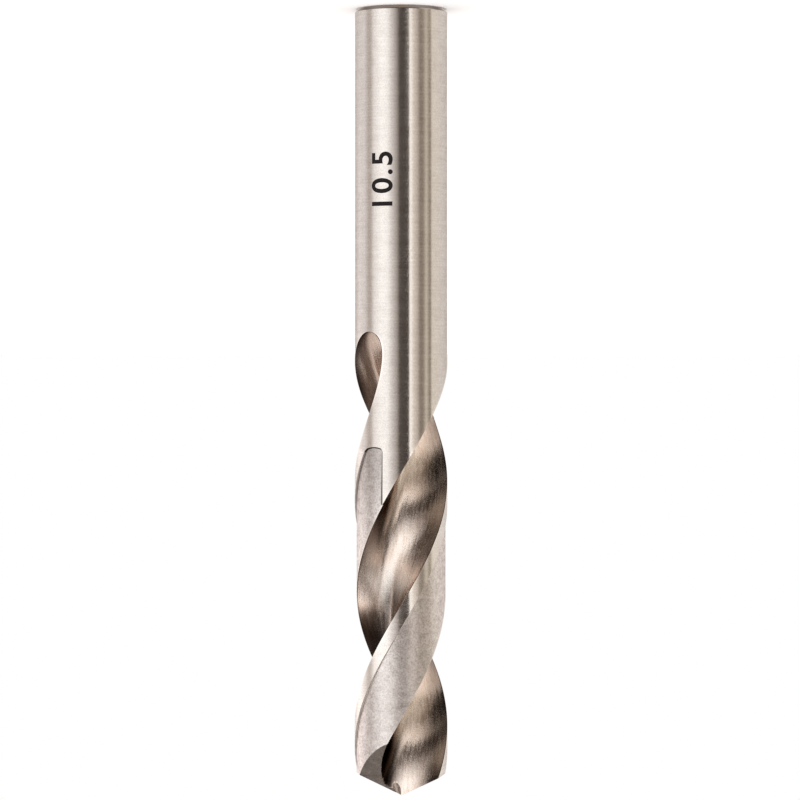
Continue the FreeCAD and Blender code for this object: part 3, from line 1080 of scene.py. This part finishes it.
class Nodes:
    """A short way to write a node tree down."""

    def __init__(self, tree: bpy.types.NodeTree) -> None:
        """Starts with an empty tree."""
        self.tree = tree
        tree.nodes.clear()

    def add(self, kind: str, inputs: dict | None = None, **settings: object) -> bpy.types.Node:
        """Adds a node.

        Args:
            kind: The node's type.
            inputs: A value or another node's output for each named or numbered input.
            settings: The node's own settings.

        Returns:
            The new node.
        """
        node = self.tree.nodes.new(kind)
        for key, value in settings.items():
            setattr(node, key, value)
        for key, value in (inputs or {}).items():
            if isinstance(value, bpy.types.NodeSocket):
                self.tree.links.new(value, node.inputs[key])
            else:
                node.inputs[key].default_value = value
        return node

    def math(self, operation: str, first: object, second: object = 0.0) -> Socket:
        """One step of arithmetic on values or outputs."""
        return self.add("ShaderNodeMath", {0: first, 1: second}, operation=operation).outputs["Value"]

    def vector(self, operation: str, first: object, second: object) -> bpy.types.Node:
        """One step of arithmetic on vectors, as a node."""
        return self.add("ShaderNodeVectorMath", {0: first, 1: second}, operation=operation)

    def scaled(self, vector: object, share: Socket) -> Socket:
        """A vector or a tone times a share."""
        return self.add("ShaderNodeVectorMath", {0: vector, "Scale": share}, operation="SCALE").outputs[0]

    def noise(self, source: Socket, scale: float, detail: float, rough: float = 0.6) -> Socket:
        """Plain noise from 0 to 1 over a coordinate."""
        inputs = {"Vector": source, "Scale": scale, "Detail": detail, "Roughness": rough}
        return self.add("ShaderNodeTexNoise", inputs).outputs["Fac"]

    def span(
        self, value: Socket, low: float, high: float, to_low: float = 0.0, to_high: float = 1.0
    ) -> Socket:
        """A straight ramp between two values, level outside them.

        Args:
            value: What the ramp goes by.
            low: Where it starts.
            high: Where it ends.
            to_low: Its value at the start.
            to_high: Its value at the end.

        Returns:
            The ramp's value.
        """
        inputs = {"Value": value, "From Min": low, "From Max": high, "To Min": to_low, "To Max": to_high}
        return self.add("ShaderNodeMapRange", inputs).outputs["Result"]

    def smooth_step(self, value: Socket, low: float, high: float) -> Socket:
        """From 0 at the low value to 1 at the high one, with flat ends; low may be above high.

        Args:
            value: What the step goes by.
            low: Where it is 0.
            high: Where it is 1.

        Returns:
            The step's value.
        """
        inputs = {"Value": value, "From Min": min(low, high), "From Max": max(low, high)}
        rising = self.add("ShaderNodeMapRange", inputs, interpolation_type="SMOOTHSTEP").outputs["Result"]
        return rising if low <= high else self.math("SUBTRACT", 1.0, rising)

    def ramp(self, factor: Socket, stops: list[tuple[float, Tone]]) -> Socket:
        """A colour ramp over a factor.

        Args:
            factor: What the ramp goes by, from 0 to 1.
            stops: Each stop's place and tone.

        Returns:
            The ramp's tone.
        """
        node = self.add("ShaderNodeValToRGB", {"Fac": factor})
        elements = node.color_ramp.elements
        while len(elements) > 1:
            elements.remove(elements[-1])
        elements[0].position = stops[0][0]
        elements[0].color = (*stops[0][1], 1.0)
        for place, tone in stops[1:]:
            elements.new(place).color = (*tone, 1.0)
        return node.outputs["Color"]

    def blend(self, share: float, first: Socket, second: Socket) -> Socket:
        """Mixes two values by a share of the second."""
        return self.add("ShaderNodeMix", {0: share, 2: first, 3: second}).outputs[0]

    def mix(self, share: Socket, first: Tone | Socket, second: Tone | Socket) -> Socket:
        """Mixes two tones by a share of the second, each of them plain or from a node."""
        tones = [tone if isinstance(tone, Socket) else (*tone, 1.0) for tone in (first, second)]
        return self.add("ShaderNodeMix", {0: share, 6: tones[0], 7: tones[1]}, data_type="RGBA").outputs[2]

    def surface(self, inputs: dict) -> None:
        """Ends a material's tree with its one shader and the output."""
        shader = self.add("ShaderNodeBsdfPrincipled", inputs)
        self.add("ShaderNodeOutputMaterial", {"Surface": shader.outputs["BSDF"]})


def new_material(name: str) -> tuple[bpy.types.Material, Nodes]:
    """Makes a material of nodes.

    Args:
        name: Its name.

    Returns:
        The material and its empty tree.
    """
    material = bpy.data.materials.new(name)
    material.use_nodes = True
    return material, Nodes(material.node_tree)


@dataclass(frozen=True)
class GroundFinish:
    """Ground steel: two tones in mottled grain, grinding marks in one direction, painted edge highlight and
    shade.

    The marks are noise that is stretched along them, and grain and patches are noise that isn't.
    Their weighted mean sets tone, roughness and relief together. Scales are per metre.
    """

    name: str
    light: Tone
    dark: Tone
    smooth: float
    rough: float
    marks: tuple[float, float, float] = (900.0, 900.0, 900.0)
    mark_share: float = 0.3
    mark_detail: float = 4.0
    grain_scale: float = 5200.0
    grain_detail: float = 3.0
    patch_scale: float = 900.0
    patch_detail: float = 2.0
    patch_share: float = 0.35
    tone_span: tuple[float, float] = (0.38, 0.62)
    rough_span: tuple[float, float] = (0.35, 0.65)
    depth: float = 0.25
    relief: float = 0.00003
    # Tones of the painted edge highlight and of the painted shade.
    glint_tone: Tone = (0.92, 0.9, 0.88)
    shade_tone: Tone = (0.045, 0.027, 0.02)
    along_surface: bool = False
    paints_glint_and_shade: bool = True

    def worn(self, nodes: Nodes, tone: Socket) -> Socket:
        """Paints a highlight beside long edges and paints shade in the flutes.

        Args:
            nodes: The material's tree.
            tone: The tone of the plain surface.

        Returns:
            The tone with the painted highlight and shade.
        """
        highlight_and_shade = nodes.add("ShaderNodeAttribute", attribute_name="edge_glint_and_shade").outputs["Fac"]
        shade = nodes.math("MAXIMUM", nodes.math("MULTIPLY", highlight_and_shade, -1.0), 0.0)
        edged = nodes.mix(nodes.math("MAXIMUM", highlight_and_shade, 0.0), tone, self.glint_tone)
        return nodes.mix(shade, edged, self.shade_tone)

    def build(self) -> bpy.types.Material:
        """Makes the material.

        Returns:
            The material, with its roughness, tone and bump from its nodes.
        """
        material, nodes = new_material(self.name)
        where = nodes.add("ShaderNodeTexCoord")
        solid = where.outputs["Object"]
        source = where.outputs["UV"] if self.along_surface else solid
        stretched = nodes.add("ShaderNodeMapping", {"Vector": source, "Scale": self.marks})
        marks = nodes.noise(stretched.outputs["Vector"], 1.0, self.mark_detail)
        grain = nodes.noise(solid, self.grain_scale, self.grain_detail)
        patch = nodes.noise(solid, self.patch_scale, self.patch_detail)
        height = nodes.blend(self.mark_share, nodes.blend(self.patch_share, grain, patch), marks)
        tone = nodes.mix(nodes.span(height, *self.tone_span), self.dark, self.light)
        # Paints a highlight along the edges and shade in the flutes, from the mesh's attribute.
        if self.paints_glint_and_shade:
            tone = self.worn(nodes, tone)
        shape = {"Height": height, "Strength": self.depth, "Distance": self.relief}
        bump = nodes.add("ShaderNodeBump", shape)
        nodes.surface(
            {
                "Base Color": tone,
                "Metallic": 1.0,
                "Roughness": nodes.span(height, *self.rough_span, self.smooth, self.rough),
                "Specular Tint": tone,
                "Normal": bump.outputs["Normal"],
            }
        )
        return material


FINISHES = {
    Zone.SHANK: GroundFinish(
        name="ShankSteel",
        light=(0.74, 0.72, 0.70),
        dark=(0.60, 0.57, 0.55),
        smooth=0.1,
        rough=0.17,
        marks=(300.0, 300.0, 5000.0),
        depth=0.12,
    ),
    Zone.LAND: GroundFinish(
        name="LandSteel",
        light=(1.0, 0.97, 0.965),
        dark=(0.54, 0.5, 0.485),
        smooth=0.28,
        rough=0.44,
        marks=(700.0, 700.0, 2500.0),
        mark_share=0.15,
        depth=1.0,
        patch_scale=1500.0,
    ),
    Zone.MARGIN: GroundFinish(
        name="MarginSteel",
        light=(0.84, 0.82, 0.80),
        dark=(0.66, 0.63, 0.61),
        smooth=0.12,
        rough=0.22,
        marks=(300.0, 300.0, 5000.0),
        depth=0.12,
    ),
    Zone.FLUTE: GroundFinish(
        name="FluteSteel",
        light=(1.0, 0.93, 0.885),
        dark=(0.66, 0.555, 0.48),
        smooth=0.17,
        rough=0.33,
        marks=(3400.0, 420.0, 1.0),
        mark_share=0.5,
        depth=0.8,
        along_surface=True,
    ),
    # The facets' tones are set well below the flutes', which paints shade on them.
    Zone.FACET: GroundFinish(
        name="FacetShadedSteel",
        light=(0.56, 0.53, 0.51),
        dark=(0.26, 0.25, 0.24),
        smooth=0.3,
        rough=0.45,
        marks=(900.0, 2500.0, 900.0),
        depth=0.6,
        paints_glint_and_shade=False,
    ),
    Zone.GROOVE: GroundFinish(
        name="GrooveSteel",
        light=(0.95, 0.88, 0.84),
        dark=(0.72, 0.65, 0.61),
        smooth=0.45,
        rough=0.6,
        marks=(2000.0, 2000.0, 900.0),
        paints_glint_and_shade=False,
    ),
    # Dark tones that paint shade along the lengthwise edge and the clearance's end.
    Zone.STEP: GroundFinish("StepShade", (0.26, 0.24, 0.22), (0.12, 0.11, 0.10), 0.3, 0.45),
    Zone.WALL: GroundFinish("WallSteel", (0.98, 0.96, 0.94), (0.88, 0.85, 0.83), 0.85, 0.98),
}


@dataclass
class DrillBit:
    """The bit itself: the blank's surface, ground at the point and dressed zone by zone."""

    surface: BitSurface = field(default_factory=BitSurface)
    grinding: PointGrinding = field(default_factory=PointGrinding)
    crease: float = 17.0

    def build(self) -> bpy.types.Object:
        """Makes the finished piece and lets it stand for the CAD node.

        Returns:
            The piece, with its place in its mesh.
        """
        piece = self.surface.build("ground_bit")
        for zone in Zone:
            piece.data.materials.append(FINISHES[zone].build())
        self.grinding.grind(piece)
        mesh = piece.data
        weld(mesh)
        mesh.transform(Matrix.Scale(MM, 4))
        mesh.polygons.foreach_set("use_smooth", np.ones(len(mesh.polygons), dtype=bool))
        mesh.set_sharp_from_angle(angle=math.radians(self.crease))
        mesh.update()
        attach(piece, BODY)
        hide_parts(NODE)
        return piece


@dataclass(frozen=True)
class InkFinish:
    """Black marking ink with a slightly uneven, dull surface."""

    name: str = "MarkInk"
    dark: Tone = (0.006, 0.005, 0.006)
    worn: Tone = (0.022, 0.019, 0.019)
    smooth: float = 0.5
    rough: float = 0.8
    shine: float = 0.15
    grain_scale: float = 4000.0
    grain_detail: float = 3.0

    def build(self) -> bpy.types.Material:
        """Makes the material, mottled by fine noise.

        Returns:
            The material.
        """
        material, nodes = new_material(self.name)
        where = nodes.add("ShaderNodeTexCoord")
        grain = nodes.noise(where.outputs["Object"], self.grain_scale, self.grain_detail)
        roughness = nodes.span(grain, 0.0, 1.0, self.smooth, self.rough)
        tone = nodes.mix(grain, self.dark, self.worn)
        nodes.surface({"Base Color": tone, "Roughness": roughness, "Specular IOR Level": self.shine})
        return material


@dataclass
class SizeMark:
    """The diameter in millimetres, printed along the shank."""

    sizes: BitSizes = field(default_factory=BitSizes)
    text: str = "10.5"
    letter_height: float = 2.6
    letter_gap: float = 1.15
    stroke_growth: float = 0.018
    middle_height: float = 19.5
    direction: float = -65.4
    thickness: float = 0.012
    stand_off: float = 0.004
    longest_edge: float = 0.35
    most_splits: int = 4
    same_place: float = 1e-5

    def flat(self) -> bpy.types.Mesh:
        """The figures as a flat closed mesh, at the type's own size.

        Returns:
            The mesh, which is half above and half below the plane of the type.
        """
        curve = bpy.data.curves.new("size_mark", "FONT")
        curve.body = self.text
        curve.size = 1.0
        curve.space_character = self.letter_gap
        curve.offset = self.stroke_growth
        curve.extrude = 0.5
        curve.align_x = "CENTER"
        letters = link("letters", curve)
        graph = bpy.context.evaluated_depsgraph_get()
        mesh = bpy.data.meshes.new_from_object(letters.evaluated_get(graph), depsgraph=graph)
        bpy.data.objects.remove(letters, do_unlink=True)
        return mesh

    def split(self, work: bmesh.types.BMesh, scale: float) -> None:
        """Cuts the faces into triangles that are short enough to follow the shank.

        Args:
            work: The figures, changed in place.
            scale: Millimetres to one unit of the type.
        """
        bmesh.ops.triangulate(work, faces=work.faces)
        for _ in range(self.most_splits):
            long_edges = [edge for edge in work.edges if edge.calc_length() * scale > self.longest_edge]
            if not long_edges:
                break
            bmesh.ops.subdivide_edges(work, edges=long_edges, cuts=1)
            bmesh.ops.triangulate(work, faces=work.faces)
        bmesh.ops.recalc_face_normals(work, faces=work.faces)

    def wrap(self, mesh: bpy.types.Mesh, middle: np.ndarray, scale: float) -> None:
        """Wraps the figures round the shank: across becomes an angle, and along becomes a height.

        Args:
            mesh: The flat figures, changed in place and then in metres.
            middle: The middle of the figures.
            scale: Millimetres to one unit of the type.
        """
        places = np.empty(len(mesh.vertices) * 3)
        mesh.vertices.foreach_get("co", places)
        places = places.reshape(-1, 3)
        along = (places[:, 0] - middle[0]) * scale
        across = (places[:, 1] - middle[1]) * scale
        radius = self.sizes.shank_radius
        out = radius + self.stand_off + self.thickness * (places[:, 2] > 0.0)
        angle = math.radians(self.direction) + across / radius
        wrapped = np.stack([out * np.cos(angle), out * np.sin(angle), self.middle_height - along], axis=-1)
        mesh.vertices.foreach_set("co", (wrapped * MM).reshape(-1))
        mesh.update()

    def build(self) -> bpy.types.Object:
        """Makes the figures and prints them on the shank.

        Returns:
            The finished piece.
        """
        mesh = self.flat()
        work = bmesh.new()
        work.from_mesh(mesh)
        bmesh.ops.remove_doubles(work, verts=work.verts, dist=self.same_place)
        places = np.array([vertex.co for vertex in work.verts])
        low = places.min(axis=0)
        high = places.max(axis=0)
        scale = self.letter_height / (high[1] - low[1])
        self.split(work, scale)
        work.to_mesh(mesh)
        work.free()
        self.wrap(mesh, (low + high) / 2.0, scale)
        mesh.materials.append(InkFinish().build())
        piece = link("size_mark", mesh)
        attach(piece, BODY)
        return piece


@dataclass(frozen=True)
class SoftPanel:
    """A round patch of light, full inside and fading to nothing at its rim; angles in degrees.

    It hides a share of the light behind it, so with a dark tone it is a dark patch.
    """

    azimuth: float
    height: float
    inner: float
    outer: float
    tone: Tone
    hides: float = 0.0

    @property
    def facing(self) -> tuple[float, float, float]:
        """Direction from the bit to the panel's middle.

        Returns:
            Its x, y and z, for a length of 1.
        """
        level = math.cos(math.radians(self.height))
        turn = math.radians(self.azimuth)
        return -level * math.sin(turn), -level * math.cos(turn), math.sin(math.radians(self.height))


@dataclass(frozen=True)
class Card:
    """A card to one side of a slanting line that dims or adds to the light; angles in degrees.

    The line starts at an azimuth and moves by a slope for each degree of elevation. The card is
    reached over a softness, to the right where that is above 0. It starts at an elevation, fades
    away again at its top, and multiplies the light by its share.
    """

    azimuth: float
    slope: float
    softness: float
    above: float
    fade: float
    top: float
    top_fade: float
    share: float


@dataclass
class Studio:
    """A pale floor, soft light with dark gaps for the metal to show, and the camera."""

    floor_radii: tuple[float, ...] = (0.0, 0.02, 0.1, 0.5, 3.0)
    floor_sides: int = 96
    floor_grain: float = 60.0
    floor_tones: tuple[Tone, Tone] = ((0.93, 0.93, 0.93), (0.95, 0.95, 0.95))
    floor_roughness: float = 0.9
    camera_distance: float = 0.3966
    camera_height: float = 0.04427
    camera_aside: float = 0.000125
    focal_length: float = 157.5
    sensor_width: float = 36.0
    bands: tuple[Stop, ...] = (
        (-180.0, 1.05, 1.0, 0.97),
        (-105.0, 1.0, 0.93, 0.9),
        (-97.0, 0.85, 0.77, 0.72),
        (-91.0, 0.64, 0.56, 0.51),
        (-81.0, 0.62, 0.55, 0.5),
        (-72.0, 1.08, 1.02, 0.98),
        (-50.0, 1.45, 1.41, 1.37),
        (-34.0, 1.38, 1.34, 1.3),
        (-24.0, 0.96, 0.9, 0.86),
        (-10.0, 0.5, 0.44, 0.4),
        (-4.0, 0.12, 0.1, 0.088),
        (19.0, 0.08, 0.062, 0.05),
        (20.0, 0.09, 0.07, 0.06),
        (21.0, 1.6, 1.52, 1.44),
        (26.0, 1.4, 1.3, 1.2),
        (30.0, 1.02, 0.91, 0.81),
        (42.0, 0.68, 0.59, 0.51),
        (48.0, 0.32, 0.26, 0.21),
        (57.0, 0.36, 0.3, 0.24),
        (66.0, 0.82, 0.73, 0.62),
        (73.0, 0.48, 0.4, 0.32),
        (78.0, 0.28, 0.23, 0.18),
        (83.0, 0.95, 0.86, 0.74),
        (120.0, 0.94, 0.86, 0.8),
        (180.0, 1.05, 1.0, 0.97),
    )
    levels: tuple[Stop, ...] = (
        (-90.0, 0.3, 0.2, 0.14),
        (-74.0, 0.36, 0.33, 0.31),
        (-62.0, 0.38, 0.355, 0.335),
        (-52.0, 0.36, 0.335, 0.315),
        (-44.0, 0.3, 0.275, 0.255),
        (-35.0, 0.3, 0.27, 0.25),
        (-25.0, 0.58, 0.53, 0.5),
        (-15.0, 1.0, 1.0, 1.0),
        (12.0, 1.0, 1.0, 1.0),
        (20.0, 0.92, 0.9, 0.88),
        (28.0, 0.74, 0.69, 0.66),
        (36.0, 0.36, 0.3, 0.265),
        (46.0, 0.2, 0.15, 0.125),
        (60.0, 0.14, 0.105, 0.085),
        (78.0, 0.22, 0.195, 0.18),
        (90.0, 0.22, 0.195, 0.18),
    )
    leans: tuple[tuple[float, float], ...] = (
        (-90.0, -28.0),
        (-45.0, -26.0),
        (-25.0, -18.0),
        (-9.5, -10.0),
        (-6.5, 0.0),
        (6.5, 0.0),
        (15.0, 12.0),
        (25.0, 27.0),
        (90.0, 27.0),
    )
    lean_reach: float = 60.0
    brightest: float = 2.0
    panels: tuple[SoftPanel, ...] = (
        SoftPanel(16.0, 57.0, 7.0, 20.0, (1.4, 1.28, 1.2)),
        SoftPanel(-130.0, 26.0, 6.0, 34.0, (0.62, 0.53, 0.48)),
        SoftPanel(84.0, -37.0, 12.0, 26.0, (0.5, 0.44, 0.4)),
        SoftPanel(-3.0, 20.0, 5.0, 14.0, (0.45, 0.42, 0.4)),
        SoftPanel(14.0, 21.0, 5.0, 14.0, (0.4, 0.37, 0.35)),
        SoftPanel(27.0, -52.0, 14.0, 24.0, (0.008, 0.006, 0.005), 0.97),
    )
    cards: tuple[Card, ...] = (
        Card(-88.0, 2.4, -18.0, 8.0, 4.0, 42.0, 10.0, 0.2),
        Card(18.0, 0.0, 24.0, 12.0, 9.0, 38.0, 12.0, 0.07),
        Card(-48.0, 0.0, -22.0, -0.5, 3.5, 8.0, 6.0, 1.2),
    )
    sun_strength: float = 3.4
    sun_angle: float = 120.0

    def floor(self) -> None:
        """A round floor: rings of a disc, worked out as radius times cosine and sine."""
        turns = np.linspace(0.0, 2.0 * math.pi, self.floor_sides + 1)[:-1]
        radii = np.array(self.floor_radii)[:, None]
        x = radii * np.cos(turns)
        y = radii * np.sin(turns)
        places = np.stack([x, y, np.zeros_like(x)], axis=-1)
        mesh = bpy.data.meshes.new("floor")
        faces = ring_faces(*x.shape)[:, ::-1]
        mesh.from_pydata(places.reshape(-1, 3).tolist(), [], faces.tolist())
        weld(mesh, TINY)
        material, nodes = new_material("FloorPaper")
        where = nodes.add("ShaderNodeTexCoord")
        grain = nodes.noise(where.outputs["Object"], self.floor_grain, detail=4.0, rough=0.5)
        nodes.surface({"Base Color": nodes.mix(grain, *self.floor_tones), "Roughness": self.floor_roughness})
        mesh.materials.append(material)
        made = link("floor", mesh)
        made.visible_glossy = False

    def surroundings(self) -> None:
        """Soft light from all round: brightness goes by direction, and the eye sees plain white.

        The direction round the bit reads the bands, after a lean that goes by the elevation. The
        elevation reads the levels. The cards take or add their share, and the panels go over that.
        """
        world = bpy.data.worlds.new("studio")
        bpy.context.scene.world = world
        world.use_nodes = True
        nodes = Nodes(world.node_tree)
        where = nodes.add("ShaderNodeTexCoord").outputs["Generated"]
        parts = nodes.add("ShaderNodeSeparateXYZ", {"Vector": where})
        left = nodes.math("MULTIPLY", parts.outputs["X"], -1.0)
        front = nodes.math("MULTIPLY", parts.outputs["Y"], -1.0)
        turn = nodes.math("MULTIPLY", nodes.math("ARCTAN2", left, front), HALF_TURN / math.pi)
        rise = nodes.math("MULTIPLY", nodes.math("ARCSINE", parts.outputs["Z"]), HALF_TURN / math.pi)
        bands = self.angle_ramp(nodes, self.leaned(nodes, turn, rise), HALF_TURN, self.bands, self.brightest)
        levels = self.angle_ramp(nodes, rise, RIGHT_ANGLE, self.levels)
        light = nodes.vector("MULTIPLY", bands, levels).outputs[0]
        for card in self.cards:
            light = self.carded(nodes, card, light, turn, rise)
        for panel in self.panels:
            light = self.with_panel(nodes, panel, light, where)
        banded = nodes.add("ShaderNodeBackground", {"Color": light, "Strength": self.brightest})
        plain = nodes.add("ShaderNodeBackground", {"Color": (1.0, 1.0, 1.0, 1.0), "Strength": 1.0})
        eye = nodes.add("ShaderNodeLightPath").outputs["Is Camera Ray"]
        lights = {0: eye, 1: banded.outputs["Background"], 2: plain.outputs["Background"]}
        seen = nodes.add("ShaderNodeMixShader", lights)
        nodes.add("ShaderNodeOutputWorld", {"Surface": seen.outputs["Shader"]})

    def leaned(self, nodes: Nodes, turn: Socket, rise: Socket) -> Socket:
        """The direction round the bit, less the lean at this elevation.

        A ramp holds shares from 0 to 1, so 0.5 in it stands for no lean.

        Args:
            nodes: The tree.
            turn: The direction round the bit in degrees.
            rise: The elevation in degrees.

        Returns:
            The leaned direction in degrees.
        """
        shares = [(angle, *[0.5 + lean / (2.0 * self.lean_reach)] * 3) for angle, lean in self.leans]
        lean = nodes.math("SUBTRACT", self.angle_ramp(nodes, rise, RIGHT_ANGLE, shares), 0.5)
        return nodes.math("SUBTRACT", turn, nodes.math("MULTIPLY", lean, 2.0 * self.lean_reach))

    @staticmethod
    def carded(nodes: Nodes, card: Card, light: Socket, turn: Socket, rise: Socket) -> Socket:
        """The light with one card in it.

        Args:
            nodes: The tree.
            card: The card.
            light: The light so far.
            turn: The direction round the bit in degrees.
            rise: The elevation in degrees.

        Returns:
            The light, times the card's share where the card is.
        """
        line = nodes.math("ADD", nodes.math("MULTIPLY", rise, card.slope), card.azimuth)
        across = nodes.smooth_step(nodes.math("SUBTRACT", turn, line), 0.0, card.softness)
        upward = nodes.smooth_step(rise, card.above, card.above + card.fade)
        downward = nodes.smooth_step(rise, card.top + card.top_fade, card.top)
        inside = nodes.math("MULTIPLY", nodes.math("MULTIPLY", across, upward), downward)
        taken = nodes.math("MULTIPLY", inside, 1.0 - card.share)
        return nodes.scaled(light, nodes.math("SUBTRACT", 1.0, taken))

    def with_panel(self, nodes: Nodes, panel: SoftPanel, light: Socket, where: Socket) -> Socket:
        """The light with one panel in front of it.

        Args:
            nodes: The tree.
            panel: The panel.
            light: The light so far.
            where: The direction looked in.

        Returns:
            The light, less what the panel hides and with its tone added.
        """
        near = nodes.vector("DOT_PRODUCT", where, panel.facing).outputs["Value"]
        rim = math.cos(math.radians(panel.outer))
        share = nodes.smooth_step(near, rim, math.cos(math.radians(panel.inner)))
        glow = nodes.scaled(tuple(part / self.brightest for part in panel.tone), share)
        behind = nodes.math("SUBTRACT", 1.0, nodes.math("MULTIPLY", share, panel.hides))
        return nodes.vector("ADD", nodes.scaled(light, behind), glow).outputs[0]

    @staticmethod
    def angle_ramp(
        nodes: Nodes, value: Socket, reach: float, stops: Sequence[Stop], brightest: float = 1.0
    ) -> Socket:
        """A ramp over angles from -reach to reach.

        Args:
            nodes: The tree.
            value: The angle in degrees.
            reach: The largest angle.
            stops: Each stop's angle and its tone.
            brightest: What the tones are divided by.

        Returns:
            The tone at the angle.
        """
        placed = []
        for angle, *tone in stops:
            placed.append(((angle + reach) / (2.0 * reach), tuple(part / brightest for part in tone)))
        return nodes.ramp(nodes.span(value, -reach, reach), placed)

    def sun(self) -> None:
        """Soft light from straight above, which keeps the floor white and isn't seen in the steel."""
        light = bpy.data.lights.new("overhead", "SUN")
        light.energy = self.sun_strength
        light.angle = math.radians(self.sun_angle)
        made = link("overhead", light)
        made.visible_camera = False
        made.visible_glossy = False

    def camera(self) -> None:
        """The camera in front, half a turn over, so that the tip points down in the picture."""
        data = bpy.data.cameras.new("camera")
        data.lens = self.focal_length
        data.sensor_width = self.sensor_width
        made = link("camera", data)
        made.location = (self.camera_aside, -self.camera_distance, self.camera_height)
        made.rotation_euler = (math.radians(-RIGHT_ANGLE), 0.0, math.radians(HALF_TURN))
        bpy.context.scene.camera = made

    def build(self) -> None:
        """Makes the floor, the light and the camera."""
        self.floor()
        self.surroundings()
        self.sun()
        self.camera()
        bpy.context.scene.view_settings.view_transform = "Standard"


def main() -> None:
    """Builds the bit, its mark and the studio, and logs how many faces the bit and the mark have."""
    logging.basicConfig(level=logging.INFO, format="%(name)s: %(message)s")
    bit = DrillBit().build()
    log.info("%s has %d faces", bit.name, len(bit.data.polygons))
    mark = SizeMark().build()
    log.info("%s has %d faces", mark.name, len(mark.data.polygons))
    Studio().build()
    log.info("the studio is set")


if __name__ == "__main__":
    main()
